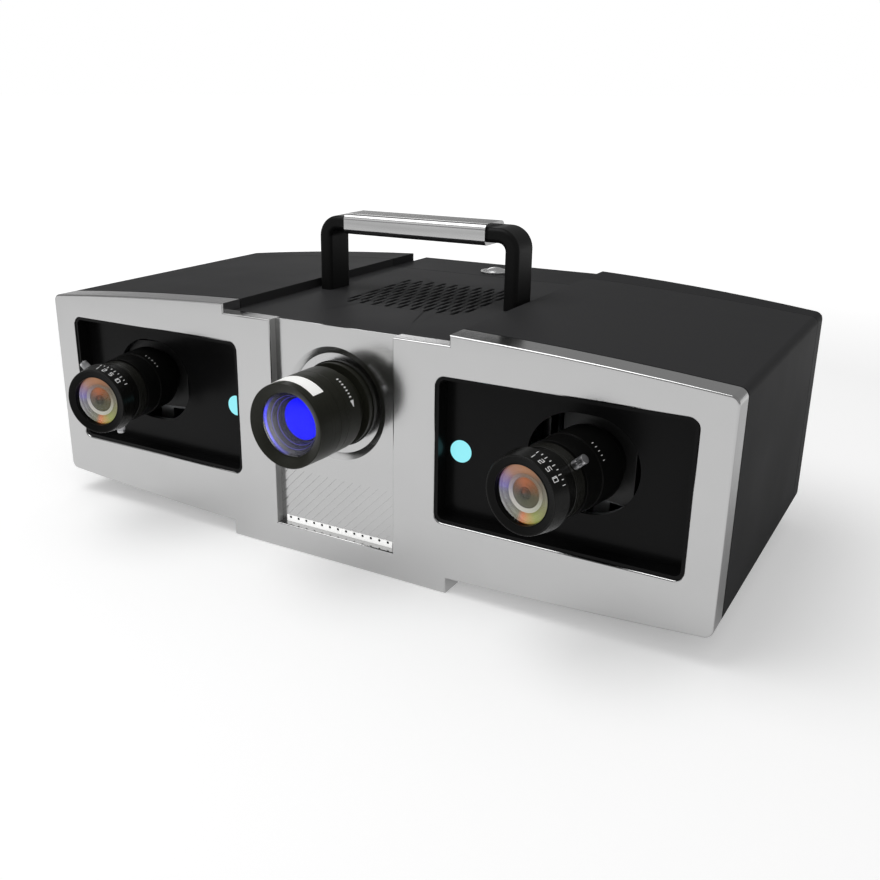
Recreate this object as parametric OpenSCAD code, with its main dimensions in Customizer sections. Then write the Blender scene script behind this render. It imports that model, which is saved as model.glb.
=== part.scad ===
// Three-d scanner: two toed-in cameras and a projector behind a silver front plate,
// in a black arched case with a carrying handle. Millimetres, +Z up, front towards -Y.
// The origin is the mouth of the tripod thread, in the middle of the underside.

/* [Case] */
// Width of the case and of the front plate
body_w = 370; // [350:1:390]
// Width of the centre block and of the channel in the top
centre_w = 126; // [124:1:132]
// Height of the channel floor above the standing face
channel_z = 118.5; // [118:0.5:122]
// Height of the wings above the channel floor
wing_step = 4.7; // [3:0.1:7]
// Fall of the arched top from the channel to the outer corners
top_fall = 8.2; // [5:0.1:9]
// Height of the wings' underside beside the centre block
block_drop = 7.6; // [6:0.1:9]
// Rise of the arched underside from the block to the outer corners
under_rise = 5.9; // [4:0.1:8]
// Radius of the rounded outer corners
corner_r = 4; // [3:0.25:5]
// Wall of the black shells
shell_t = 2.5; // [2:0.1:3]
// Height of the joint between the base tray and the top cover
split_z = 17; // [16:0.5:19]
// Depth from the front face to the seam of the rear cover
seam_depth = 159; // [156:1:162]
// Length of the rear cover at the wings, beside the centre block
rear_len = 25; // [22:1:29]
// Bow of the wings' rear face, from the centre block to the outer corners
rear_bow = 12; // [8:0.5:16]
// Length of the rear cover at the centre block
block_len = 41; // [39:1:47]
// Distance from the front face to the tripod thread
thread_reach = 88; // [86:1:92]

/* [Front plate] */
// Thickness of the front plate
plate_t = 13; // [12:0.5:14]
// Depth of the window trays, where the axes of the lenses start
tray_d = 9; // [8:0.25:9.5]
// Depth of the projector panel in the centre recess
panel_d = 4.5; // [3.8:0.1:6]
// Depth of the plate's upper edge under the handle
floor_d = 8; // [7:0.25:10]
// Distance from the middle to each window's inner edge
win_in = 56.4; // [55:0.2:58]
// Margin between each window and the plate's outer edge
win_margin = 14; // [13:0.2:16]
// Height of each window
win_h = 69; // [66:0.5:70]
// Height of the windows' centre
win_z = 69.7; // [68:0.1:71]
// Corner radius of the windows
win_r = 4.3; // [3:0.1:6]
// Width of the centre recess
recess_w = 68.8; // [66:0.2:70]
// Height of the recess floor
recess_z = 13.5; // [12.5:0.1:15]

/* [Window trays] */
// Wall of the window trays
tray_t = 1.5; // [1.2:0.1:2]
// Thickness of the trays' back
tray_back_t = 3; // [2.5:0.1:3.5]
// Width of the flange that holds a tray or the projector panel behind the plate
flange_w = 3; // [2:0.2:3.4]
// Thickness of that flange
flange_t = 1.5; // [1:0.1:1.6]
// Height of the oval camera hole
hole_h = 44; // [42:0.5:46]
// Extra width of the camera hole over its height
hole_extra = 6.4; // [5:0.2:8]
// Height of the camera holes' centre
hole_z = 73.5; // [72.5:0.1:75]
// Place of each camera hole from its window's outer edge, as a share of the window's width
hole_share = 0.424; // [0.41:0.002:0.436]
// Radius of the indicator windows
indicator_r = 5.2; // [4:0.1:6]
// Distance from a window's inner edge to its indicator
indicator_set = 8.8; // [8.5:0.1:10]
// Height of the indicators
indicator_z = 68.2; // [64:0.1:72]

/* [Cameras] */
// Place of each camera's axis at the tray back, as a share of the window's width
cam_share = 0.402; // [0.392:0.002:0.42]
// Height of the camera axes
lens_z = 74.6; // [73.5:0.1:75.5]
// Angle by which each camera turns in towards the middle, in degrees
toe_angle = 11; // [8:0.1:12.5]
// Reach of the lens in front of the tray back
lens_reach = 48.6; // [47:0.2:51]
// Radius of the focus ring at its front rim
focus_r = 16.3; // [16:0.1:16.8]
// Radius of the focus ring at its rear
focus_rear_r = 17.5; // [16.8:0.1:17.8]
// Radius of the iris ring
iris_r = 15.7; // [15.5:0.1:16.5]
// Radius of the fixed barrel behind the rings
barrel_r = 16.9; // [16.4:0.1:17.4]
// Radius of the core that the rings turn on
core_r = 14.2; // [14:0.1:14.4]
// Radius of the front glass
glass_r = 13; // [12.6:0.1:13.2]
// Length of the focus ring's wide front
focus_len = 8.2; // [7.8:0.1:9]
// Length of the focus ring's narrow skirt
skirt_len = 6.8; // [6:0.1:7.5]
// Length of the iris ring
iris_len = 6.4; // [6:0.1:7.5]
// Side of the square camera body
cam_side = 36; // [34:0.5:38]
// Length of the camera body
cam_len = 45; // [42:0.5:48]
// Distance from the tray back's front to the camera body
cam_setback = 8; // [8:0.1:10]
// Diameter of a lock screw's head
lock_d = 4; // [3.6:0.1:4.4]
// Reach of a lock screw's head beyond its ring
lock_reach = 6.2; // [4:0.1:7]

/* [Projector] */
// Height of the projector's axis
proj_z = 80.9; // [80:0.1:82]
// Reach of the projector lens in front of the tray backs
proj_reach = 43.8; // [42:0.1:46]
// Radius of the projector lens at its front rim
proj_r = 19.8; // [19.3:0.1:20.2]
// Radius of the projector's focus ring
proj_focus_r = 18.9; // [18.5:0.1:19.2]
// Radius of the projector's glass
proj_glass_r = 14.9; // [14:0.1:15]
// Radius of the silver dish round the projector lens
dish_r = 27.9; // [27:0.1:28.6]
// Depth of that dish in the panel
dish_d = 1.5; // [1:0.1:2]
// Width of the dish's sloping edge
dish_slope = 3.3; // [2.5:0.1:3.6]
// Width of the projector body
proj_body_w = 76; // [70:1:80]
// Height of the projector body
proj_body_h = 50; // [48:1:52]
// Length of the projector body
proj_body_len = 80; // [76:1:84]
// Pitch of the diagonal grooves, measured level
groove_pitch = 4.85; // [4:0.05:6]
// Height of the grooved field
groove_h = 29; // [24:0.5:31]
// Width of a groove
groove_w = 0.7; // [0.5:0.1:1.2]
// Height of the white strip under the grooves
strip_h = 3.3; // [2.8:0.1:4]

/* [Vents] */
// Pitch of the vent slots across the channel
vent_pitch_x = 7.55; // [7:0.05:8]
// Pitch of the vent slots along the channel
vent_pitch_y = 17; // [15:0.5:18]
// Length of a vent slot
vent_len = 10.5; // [8:0.25:12]
// Width of a vent slot
vent_w = 2.2; // [1.6:0.1:2.8]
// Columns of slots in the wider rows
vent_cols = 10; // [6:1:11]
// Rows of slots in each column
vent_rows = 4; // [2:1:5]
// Sideways place of the vent field's centre
vent_x = 3.8; // [-4:0.1:4]
// Depth of the vent field's centre from the front face
vent_depth = 90; // [86:1:96]

/* [Handle] */
// Length of each leg's level arm, from its bend to the grip
arm_len = 5.9; // [4:0.1:8]
// Depth of the grip, front to rear
grip_d = 21.7; // [20:0.1:24]
// Height of the grip's section
grip_h = 10.6; // [9:0.1:11.5]
// Height of the grip's underside above the channel floor
grip_gap = 31; // [28:0.5:40]
// Thickness of a leg
leg_t = 7.4; // [6.5:0.1:7.8]
// Depth of a leg, front to rear
leg_d = 19.2; // [17:0.1:19.8]
// Distance from the channel's side to a leg's outer face
leg_set = 4.3; // [3.5:0.1:6]
// Inner radius of a leg's bend
bend_r = 4; // [3:0.1:5]
// Depth of the handle's centre from the front face
handle_depth = 85.2; // [82:0.2:90]

/* [Power switch] */
// Radius of the switch's rim
switch_r = 8.6; // [8:0.1:10]
// Radius of the button
button_r = 6.8; // [6:0.1:7]
// Height of the button's dome above the rim
button_dome = 2; // [1.5:0.1:3]
// Travel of the button
button_travel = 1.6; // [1:0.1:2]
// Distance from the rear cover's seam to the switch's centre
switch_set = 14; // [12:0.5:17]

/* [Mounts] */
// Radius of the tripod thread's bore, for a quarter-inch camera screw
thread_r = 2.6; // [2.4:0.05:3]
// Thickness of the tripod plate
tripod_t = 7; // [6:0.5:8]
// Width of the tripod plate
tripod_w = 50; // [40:1:56]

/* [Inside] */
// Height of the optical bench's underside
bench_z = 20; // [19:0.5:21]
// Thickness of the optical bench
bench_t = 6; // [5:0.5:7]
// Reach of the optical bench's ends beyond the camera axes
bench_end = 30; // [24:1:36]
// Depth of the optical bench, front to rear
bench_d = 52; // [48:1:56]
// Side of the cooling fan
fan_side = 60; // [56:1:64]
// Thickness of the cooling fan
fan_t = 15; // [12:0.5:18]
// Length of the heat sink
sink_len = 20; // [16:0.5:22]
// Space between the main board and the walls beside it
board_side = 8.5; // [6:0.5:12]
// Height of the main board's underside
board_z = 12; // [11:0.5:13]
// Thickness of the main board
board_t = 1.6; // [1.2:0.1:2]

/* [Hidden] */

$fn = 64;
// Sides of the very large circles that draw the arches
arch_fn = 720;
// Overrun of cuts past a surface
over = 1;
// Overrun of cone-shaped cuts, small so that the rim keeps its radius
hair = 0.02;
// Radial clearance of parts that turn or slide in each other
run_gap = 0.05;
// Axial clearance between turning rings
ring_gap = 0.3;
// Clearance of a screw's shank in a clear hole
hole_gap = 0.3;

// Width of the white strip as a share of the recess's width
strip_share = 0.916;
// Height of the strip's small holes as a share of the strip's height
dot_share = 0.65;

front_y = -thread_reach;
half_w = body_w / 2;
half_c = centre_w / 2;
wing_depth = seam_depth + rear_len;
body_depth = seam_depth + block_len;
switch_depth = seam_depth + switch_set;
win_out = half_w - win_margin;
win_w = win_out - win_in;
win_x = (win_out + win_in) / 2;
hole_x = win_out - hole_share * win_w;
cam_x = win_out - cam_share * win_w;
indicator_x = win_in + indicator_set;
bench_w = 2 * (cam_x + bench_end);
board_w = centre_w - 2 * shell_t - 2 * board_side;
leg_x = half_c - leg_set;
wing_z = channel_z + wing_step;
inner_z = channel_z - shell_t;

// Height of the inner end of an arch over its centre, for an arch that falls by
// fall between the half widths a and b
function arch_rise(a, b, fall) = (b * b - a * a + fall * fall) / (2 * fall);
top_rise = arch_rise(half_c, half_w, top_fall);
top_arc_r = norm([top_rise, half_c]);
top_arc_z = wing_z - top_rise;
low_rise = arch_rise(half_c, half_w, under_rise);
low_arc_r = norm([low_rise, half_c]);
low_arc_z = block_drop + low_rise;
rear_rise = arch_rise(half_c, half_w, rear_bow);
rear_arc_r = norm([rear_rise, half_c]);
rear_arc_depth = wing_depth - rear_rise;

// Centres of the rounded corners, each circle tangent to its arch and to the side
corner_x = half_w - corner_r;
top_corner_z = top_arc_z + sqrt(pow(top_arc_r - corner_r, 2) - corner_x * corner_x);
low_corner_z = low_arc_z - sqrt(pow(low_arc_r - corner_r, 2) - corner_x * corner_x);

// A rectangle from two opposite corners
module rect(x0, y0, x1, y1) {
  translate([x0, y0]) square([x1 - x0, y1 - y0]);
}

// A centred rectangle with rounded corners
module round_rect(w, h, r) {
  square([w - 2 * r, h], center = true);
  square([w, h - 2 * r], center = true);
  for (x = [-1, 1], y = [-1, 1])
    translate([x * (w / 2 - r), y * (h / 2 - r)]) circle(r);
}

// An oval slot with its centres along X
module oval(h, extra) {
  square([extra, h], center = true);
  for (x = [-1, 1]) translate([x * extra / 2, 0]) circle(d = h);
}

// What a rounded corner of radius r takes off, seen from the corner's centre
module corner_waste(tilt, r) {
  reach = 4 * corner_r;
  difference() {
    polygon([[0, 0], [reach * sin(tilt), reach * cos(tilt)], [reach, reach], [reach, 0]]);
    circle(r);
  }
}

// The case's outline seen from the front, drawn in X and Z, inset by a wall
module outline(inset) {
  r = corner_r - inset;
  top_tilt = atan2(corner_x, top_corner_z - top_arc_z);
  low_tilt = atan2(corner_x, low_arc_z - low_corner_z);
  difference() {
    union() {
      intersection() {
        rect(inset - half_w, 0, half_w - inset, 2 * channel_z);
        translate([0, top_arc_z]) circle(top_arc_r - inset, $fn = arch_fn);
        translate([0, low_arc_z]) circle(low_arc_r - inset, $fn = arch_fn);
      }
      rect(inset - half_c, inset, half_c - inset, win_z);
    }
    rect(-half_c - inset, channel_z - inset, half_c + inset, 2 * channel_z);
    if (r > 0)
      for (s = [0, 1]) mirror([s, 0]) {
        translate([corner_x, top_corner_z]) corner_waste(top_tilt, r);
        translate([corner_x, low_corner_z]) mirror([0, 1]) corner_waste(low_tilt, r);
      }
  }
}

// Extrudes a front-view outline between two depths behind the front face
module slab(from, to) {
  translate([0, front_y + to, 0]) rotate([90, 0, 0]) linear_extrude(to - from) children();
}

// Places a round part on an axis that runs forward from a depth, its own Z forward
module forward(x, depth, z) {
  translate([x, front_y + depth, z]) rotate([90, 0, 0]) children();
}

// A turned part from a list of steps, each [from, to, radius], with a bore
module turned(steps, bore) {
  difference() {
    for (s = steps) translate([0, 0, s[0]]) cylinder(h = s[1] - s[0], r = s[2]);
    translate([0, 0, steps[0][0] - over])
      cylinder(h = steps[len(steps) - 1][1] - steps[0][0] + 2 * over, r = bore);
  }
}

// A screw with its head on the plane z = 0, its shank pointing up
module screw(shank_r, shank_len, head_r, head_h) {
  cylinder(h = shank_len, r = shank_r);
  difference() {
    translate([0, 0, -head_h]) cylinder(h = head_h, r = head_r);
    translate([0, 0, -head_h]) cylinder(h = head_h, r = shank_r, center = true, $fn = 6);
  }
}

// Front plate, its windows and its recess, thinner where the top cover's tongue lies on it
module window(s, grow) {
  translate([s * win_x, win_z]) round_rect(win_w + 2 * grow, win_h + 2 * grow, win_r + grow);
}
module front_plate() color("silver") difference() {
  slab(0, plate_t) difference() {
    outline(0);
    for (s = [-1, 1]) window(s, 0);
    rect(-recess_w / 2, recess_z, recess_w / 2, 2 * channel_z);
  }
  slab(floor_d, plate_t + over) rect(-half_c, inner_z, half_c, 2 * channel_z);
}

// White strip in the foot of the panel, with a small hole under each groove
strip_x = strip_share * recess_w / 2;
dot_count = round(2 * strip_x / groove_pitch);
dot_r = 0.5;
dot_d = 1;
module light_strip() color("white") difference() {
  slab(panel_d, plate_t) rect(-strip_x, recess_z, strip_x, recess_z + strip_h);
  for (i = [0 : dot_count - 1])
    forward((i - (dot_count - 1) / 2) * groove_pitch, panel_d + dot_d,
            recess_z + dot_share * strip_h)
      cylinder(h = dot_d + over, r = dot_r, $fn = 16);
}

// Silver panel at the back of the recess: a dish round the lens, diagonal grooves under it
panel_lip = 1;
groove_d = 0.6;
module grooves() {
  reach = groove_h + over;
  intersection() {
    rect(-recess_w / 2 - over, recess_z + strip_h, recess_w / 2 + over, recess_z + groove_h);
    for (i = [-dot_count : dot_count])
      translate([i * groove_pitch, recess_z]) rotate(-45)
        rect(-groove_w / 2, -reach, groove_w / 2, 2 * reach);
  }
}
module projector_panel() color("silver") difference() {
  union() {
    slab(panel_d, plate_t) rect(-recess_w / 2, recess_z, recess_w / 2, inner_z);
    slab(panel_d, panel_d + panel_lip)
      rect(-recess_w / 2, inner_z - over, recess_w / 2, channel_z);
    slab(plate_t, plate_t + flange_t)
      rect(-recess_w / 2 - flange_w, recess_z, recess_w / 2 + flange_w, inner_z - flange_t);
  }
  slab(panel_d - over, plate_t) rect(-strip_x, recess_z - over, strip_x, recess_z + strip_h);
  slab(panel_d - over, panel_d + groove_d) grooves();
  forward(0, panel_d + dish_d, proj_z)
    cylinder(h = dish_d + hair, r1 = dish_r - dish_slope, r2 = dish_r);
  forward(0, plate_t + flange_t + over, proj_z)
    cylinder(h = plate_t, r = dish_r - dish_slope);
}

// Silver bezel: a plug that forms the dish's floor, with a flange behind the panel
bezel_play = 0.5;
module projector_bezel() color("gainsboro")
  forward(0, plate_t + flange_t, proj_z) difference() {
    union() {
      cylinder(h = plate_t + flange_t - panel_d - dish_d, r = dish_r - dish_slope - run_gap);
      translate([0, 0, -flange_t]) cylinder(h = flange_t, r = dish_r - dish_slope + flange_w);
    }
    translate([0, 0, -flange_t - over])
      cylinder(h = 2 * plate_t, r = proj_flange_r + bezel_play);
  }

// Black trays that line the windows
tray_set = 1;
module camera_hole(s) {
  translate([s * hole_x, hole_z]) oval(hole_h, hole_extra);
}
module window_tray(s) color([0.11, 0.11, 0.11]) difference() {
  union() {
    slab(tray_set, plate_t + flange_t) difference() {
      window(s, 0);
      window(s, -tray_t);
    }
    slab(tray_d, tray_d + tray_back_t) window(s, 0);
    slab(plate_t, plate_t + flange_t) difference() {
      window(s, flange_w);
      window(s, -tray_t);
    }
  }
  slab(tray_d - over, plate_t) camera_hole(s);
  forward(s * indicator_x, plate_t, indicator_z) cylinder(h = plate_t, r = indicator_r + run_gap);
}
module left_window_tray() window_tray(-1);
module right_window_tray() window_tray(1);

// Cyan indicator windows, each with a flange behind the tray
indicator_flange = 1.2;
indicator_proud = 0.3;
module indicator(s) color("paleturquoise")
  forward(s * indicator_x, tray_d, indicator_z) {
    translate([0, 0, -tray_back_t]) cylinder(h = tray_back_t + indicator_proud, r = indicator_r);
    translate([0, 0, -tray_back_t - flange_t])
      cylinder(h = flange_t, r = indicator_r + indicator_flange);
  }
module left_indicator() indicator(-1);
module right_indicator() indicator(1);

// Black shells of the case. A shadow line, line_w wide, runs round them behind the plate
line_w = 1.2;
line_d = 0.8;
module shell_ring(inset) {
  difference() {
    outline(inset);
    outline(shell_t);
  }
}
module case_shell(low, high) {
  slab(plate_t, plate_t + line_w) intersection() {
    shell_ring(line_d);
    rect(-body_w, low, body_w, high);
  }
  slab(plate_t + line_w, seam_depth) intersection() {
    shell_ring(0);
    rect(-body_w, low, body_w, high);
  }
}
module vent_slot(x, depth) {
  translate([x, front_y + depth, inner_z - over])
    linear_extrude(shell_t + 2 * over) rotate(90) oval(vent_w, vent_len - vent_w);
}
module vent_field() {
  for (c = [0 : vent_cols - 1], r = [0 : vent_rows - 1]) {
    x = vent_x + (c - (vent_cols - 1) / 2) * vent_pitch_x;
    depth = vent_depth + (r - (vent_rows - 1) / 2) * vent_pitch_y;
    vent_slot(x, depth + vent_pitch_y / 4);
    if (c > 0) vent_slot(x - vent_pitch_x / 2, depth - vent_pitch_y / 4);
  }
}
leg_screw_r = 2;
leg_screw_pitch = 10;
module at_leg_screws() {
  for (s = [-1, 1], k = [-1, 1])
    translate([s * (leg_x - leg_t / 2), front_y + handle_depth + k * leg_screw_pitch / 2, inner_z])
      children();
}
// The tongue that lies on the front plate and behind the panel's upper edge
module tongue() {
  slab(floor_d, plate_t + line_w + over) rect(-half_c, inner_z, half_c, channel_z);
  slab(panel_d + panel_lip, plate_t) rect(-recess_w / 2, inner_z, recess_w / 2, channel_z);
}
module top_cover() color([0.2, 0.2, 0.2]) difference() {
  union() {
    case_shell(split_z, 2 * channel_z);
    tongue();
  }
  vent_field();
  at_leg_screws() translate([0, 0, -over])
    cylinder(h = shell_t + 2 * over, r = leg_screw_r + hole_gap);
}
thread_boss_r = 7;
module base_tray() color([0.17, 0.17, 0.17]) difference() {
  case_shell(0, split_z);
  translate([0, 0, -over]) cylinder(h = shell_t + 2 * over, r = thread_boss_r + run_gap);
}

// Rear cover, its wings bowed and its centre block standing out behind them
module plan(inset) {
  end = body_depth - inset;
  intersection() {
    rect(-half_w, seam_depth - over, half_w, end);
    union() {
      translate([0, rear_arc_depth]) circle(rear_arc_r - inset, $fn = arch_fn);
      rect(inset - half_c, seam_depth - over, half_c - inset, end);
    }
  }
}
module rear_solid(inset) {
  difference() {
    intersection() {
      slab(seam_depth - (inset > 0 ? over : 0), body_depth) outline(inset);
      translate([0, front_y, 0]) linear_extrude(2 * channel_z) plan(inset);
    }
    slab(wing_depth - inset, body_depth + over)
      rect(-half_w, channel_z - inset, half_w, 2 * channel_z);
  }
}
socket_gap = 0.4;
power_x = -26;
power_w = 12;
power_h = 11;
data_x = 24;
data_w = 13;
data_h = 12;
socket_len = 16;
rear_screw_r = 1.5;
rear_screw_set = 13;
rear_screw_x = half_c - rear_screw_set;
rear_screw_low = 24;
rear_screw_high = 96;
module at_rear_screws() {
  for (s = [-1, 1], z = [rear_screw_low, rear_screw_high])
    translate([s * rear_screw_x, front_y + body_depth, z]) rotate([90, 0, 0]) children();
}
module rear_cover() color([0.17, 0.17, 0.17]) difference() {
  rear_solid(0);
  rear_solid(shell_t);
  at_rear_screws() translate([0, 0, -over])
    cylinder(h = shell_t + 2 * over, r = rear_screw_r + hole_gap);
  for (p = [[power_x, power_w, power_h], [data_x, data_w, data_h]])
    translate([p[0] - p[1] / 2 - socket_gap, front_y + body_depth - 2 * shell_t,
               board_z + board_t - socket_gap])
      cube([p[1] + 2 * socket_gap, 2 * shell_t + over, p[2] + 2 * socket_gap]);
  translate([0, front_y + switch_depth, inner_z - over])
    cylinder(h = shell_t + 2 * over, r = switch_barrel_r + run_gap);
}
rear_head_r = 3;
rear_head_h = 1.8;
module rear_screws() color("dimgray")
  at_rear_screws() screw(rear_screw_r, shell_t + rear_flange_t, rear_head_r, rear_head_h);

// Brackets between the base tray and the rear cover, with a flange for the rear screws
rear_web_t = 2.5;
rear_flange_t = 4;
rear_flange_w = 9;
rear_bracket_len = 56;
module rear_bracket(s) color("lightslategray") difference() {
  wall_x = half_c - shell_t;
  flange_x = rear_screw_x - rear_flange_w / 2;
  back = body_depth - shell_t;
  top_z = rear_screw_high + rear_flange_w / 2;
  mirror([s < 0 ? 1 : 0, 0, 0]) {
    translate([wall_x - rear_web_t, front_y + back - rear_bracket_len, shell_t])
      cube([rear_web_t, rear_bracket_len, top_z - shell_t]);
    translate([flange_x, front_y + back - rear_flange_t, shell_t])
      cube([wall_x - flange_x, rear_flange_t, top_z - shell_t]);
  }
  at_rear_screws() cylinder(h = shell_t + rear_flange_t + over, r = rear_screw_r + run_gap);
}
module left_rear_bracket() rear_bracket(-1);
module right_rear_bracket() rear_bracket(1);

// Steel plate on the floor of the base tray, its threaded boss flush with the underside
module tripod_plate() color("gray") difference() {
  union() {
    translate([-tripod_w / 2, -tripod_w / 2, shell_t]) cube([tripod_w, tripod_w, tripod_t]);
    cylinder(h = shell_t + tripod_t, r = thread_boss_r);
  }
  translate([0, 0, -over]) cylinder(h = shell_t + tripod_t + 2 * over, r = thread_r);
}

// Optical bench on four posts, with two tabs against the front plate
bench_front = 20;
tab_x = (recess_w / 2 + win_in) / 2;
tab_w = 12;
tab_h = 34;
tab_t = 4;
post_r = 4;
post_set = 11;
post_x = half_c - post_set;
post_inset = 9;
bench_screw_r = 2;
module at_posts(z) {
  for (x = [-1, 1], d = [bench_front + post_inset, bench_front + bench_d - post_inset])
    translate([x * post_x, front_y + d, z]) children();
}
module optical_bench() color("slategray") difference() {
  union() {
    translate([-bench_w / 2, front_y + bench_front, bench_z]) cube([bench_w, bench_d, bench_t]);
    for (s = [-1, 1]) translate([s * tab_x - tab_w / 2, front_y + plate_t, bench_z]) {
      cube([tab_w, tab_t, tab_h]);
      cube([tab_w, bench_front - plate_t + over, bench_t]);
    }
  }
  at_posts(bench_z - over) cylinder(h = bench_t + 2 * over, r = bench_screw_r + hole_gap);
}
module bench_posts() color("goldenrod") at_posts(shell_t) difference() {
  cylinder(h = bench_z - shell_t, r = post_r);
  translate([0, 0, (bench_z - shell_t) / 2])
    cylinder(h = bench_z, r = bench_screw_r + run_gap);
}
bench_head_r = 3.5;
bench_head_h = 2.6;
module bench_screws() color("dimgray") at_posts(bench_z + bench_t)
  rotate([180, 0, 0]) screw(bench_screw_r, bench_t + bench_z / 3, bench_head_r, bench_head_h);

// Cameras. Their own Z runs forward along the lens, from the plane of the tray back
module camera_frame(s) {
  forward(s * cam_x, tray_d, lens_z) rotate([0, -s * toe_angle, 0]) children();
}
focus_back = lens_reach - focus_len;
skirt_back = focus_back - skirt_len;
iris_front = skirt_back - ring_gap;
iris_back = iris_front - iris_len;
rear_front = iris_back - ring_gap;
// Place of the step between the barrel's two rear sections
barrel_step = 15.8;
step_h = 0.4;
rear_end = 0;
neck_gap_r = 13.4;
throat_r = 10;
mount_nose_r = 12.5;
mount_nose_len = 4;
rim_drop = 2;
core_front = lens_reach - rim_drop - ring_gap;
seat_len = 5;
lock_shank_r = 1.2;
lock_wall = 1;
focus_lock_z = skirt_back + lock_d / 2;
iris_lock_z = (iris_front + iris_back) / 2;
cam_edge = 1.5;
cam_screw_r = 1.5;
cam_screw_pitch = 18;
// Angles of the lock screws round the lens, from +X towards +Z
left_focus_angle = 135;
left_iris_angle = 270;
right_focus_angle = 173;
right_iris_angle = 41;

module camera_body(s) color([0.15, 0.15, 0.15]) camera_frame(s) difference() {
  translate([0, 0, -cam_setback - cam_len])
    linear_extrude(cam_len) round_rect(cam_side, cam_side, cam_edge);
  translate([0, 0, -cam_setback - mount_nose_len])
    cylinder(h = mount_nose_len + over, r = mount_nose_r + run_gap);
  at_camera_screws() translate([0, 0, -over])
    cylinder(h = cam_screw_depth + over, r = cam_screw_r + run_gap);
}
cam_screw_depth = 5;
// Screw places under a camera body, each with its own Z up, in the camera's frame
module at_camera_screws() {
  for (k = [-1, 1])
    translate([0, -cam_side / 2, -cam_setback - cam_len / 2 + k * cam_screw_pitch / 2])
      rotate([-90, 0, 0]) children();
}
module left_camera_body() camera_body(-1);
module right_camera_body() camera_body(1);

// A radial place on a ring for a lock screw, its own Z outward
module at_lock(angle, r, place) {
  rotate([0, 0, angle]) translate([r, 0, place]) rotate([0, 90, 0]) children();
}
module at_focus_lock(angle) {
  at_lock(angle, iris_r, focus_lock_z) children();
}
module at_iris_lock(angle) {
  at_lock(angle, iris_r, iris_lock_z) children();
}
module lens_barrel(s) color([0.16, 0.16, 0.15]) camera_frame(s) difference() {
  turned([[-cam_setback - mount_nose_len, -cam_setback, mount_nose_r],
          [-cam_setback, rear_end, neck_gap_r],
          [rear_end, barrel_step, barrel_r],
          [barrel_step, rear_front, barrel_r - step_h],
          [rear_front, core_front, core_r]], throat_r);
  translate([0, 0, core_front - seat_len]) cylinder(h = seat_len + over, r = glass_r + run_gap);
}
module left_lens_barrel() lens_barrel(-1);
module right_lens_barrel() lens_barrel(1);

// Hole for a lock screw's shank, through a ring's wall
module lock_hole() {
  translate([0, 0, -iris_r / 2])
    cylinder(h = iris_r / 2 + over, r = lock_shank_r + run_gap);
}
// Iris ring, the narrow ring between the focus ring and the barrel
module iris_ring(s, angle) color([0.2, 0.2, 0.19]) camera_frame(s) difference() {
  turned([[iris_back, iris_front, iris_r]], core_r + run_gap);
  at_iris_lock(angle) lock_hole();
}
module left_iris_ring() iris_ring(-1, left_iris_angle);
module right_iris_ring() iris_ring(1, right_iris_angle);

// Focus ring, wider to the rear, its front opened into a cone round the glass
rim_w = 0.6;
module focus_ring(s, angle) color([0.14, 0.14, 0.14]) camera_frame(s) difference() {
  union() {
    translate([0, 0, focus_back]) cylinder(h = focus_len, r1 = focus_rear_r, r2 = focus_r);
    translate([0, 0, skirt_back]) cylinder(h = skirt_len + over, r = iris_r);
  }
  translate([0, 0, skirt_back - over])
    cylinder(h = core_front - skirt_back + ring_gap + over, r = core_r + run_gap);
  translate([0, 0, focus_back]) cylinder(h = focus_len + over, r = glass_r);
  translate([0, 0, lens_reach - rim_drop])
    cylinder(h = rim_drop + hair, r1 = glass_r, r2 = focus_r - rim_w);
  at_focus_lock(angle) lock_hole();
}
module left_focus_ring() focus_ring(-1, left_focus_angle);
module right_focus_ring() focus_ring(1, right_focus_angle);

// A domed glass on the plane z = 0: an edge, then a cap of the given height
module dome_glass(r, edge, cap) {
  ball = (r * r + cap * cap) / (2 * cap);
  cylinder(h = edge, r = r);
  intersection() {
    translate([0, 0, edge + cap - ball]) sphere(ball, $fn = 96);
    translate([0, 0, edge / 2]) cylinder(h = cap + edge, r = r);
  }
}
glass_edge = 4.4;
glass_cap = 2;
module lens_glass(s) color("darkslateblue") camera_frame(s)
  translate([0, 0, core_front - seat_len]) dome_glass(glass_r, glass_edge, glass_cap);
module left_lens_glass() lens_glass(-1);
module right_lens_glass() lens_glass(1);

// Lock screws: a shank in the ring and a grooved head that ends in a bright tip
tip_len = 1.4;
grip_cuts = 10;
cut_r = 0.35;
module lock_screw() {
  translate([0, 0, -lock_wall]) cylinder(h = lock_wall + 2 * ring_gap, r = lock_shank_r);
  difference() {
    translate([0, 0, ring_gap]) cylinder(h = lock_reach - ring_gap, d = lock_d);
    for (i = [0 : grip_cuts - 1]) rotate([0, 0, i * 360 / grip_cuts])
      translate([lock_d / 2, 0, lock_reach - tip_len - lock_d / 2])
        cylinder(h = lock_d / 2, r = cut_r, $fn = 16);
  }
}
module left_focus_lock() color("gray") camera_frame(-1) at_focus_lock(left_focus_angle) lock_screw();
module left_iris_lock() color("gray") camera_frame(-1) at_iris_lock(left_iris_angle) lock_screw();
module right_focus_lock() color("gray") camera_frame(1) at_focus_lock(right_focus_angle) lock_screw();
module right_iris_lock() color("gray") camera_frame(1) at_iris_lock(right_iris_angle) lock_screw();

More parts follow.
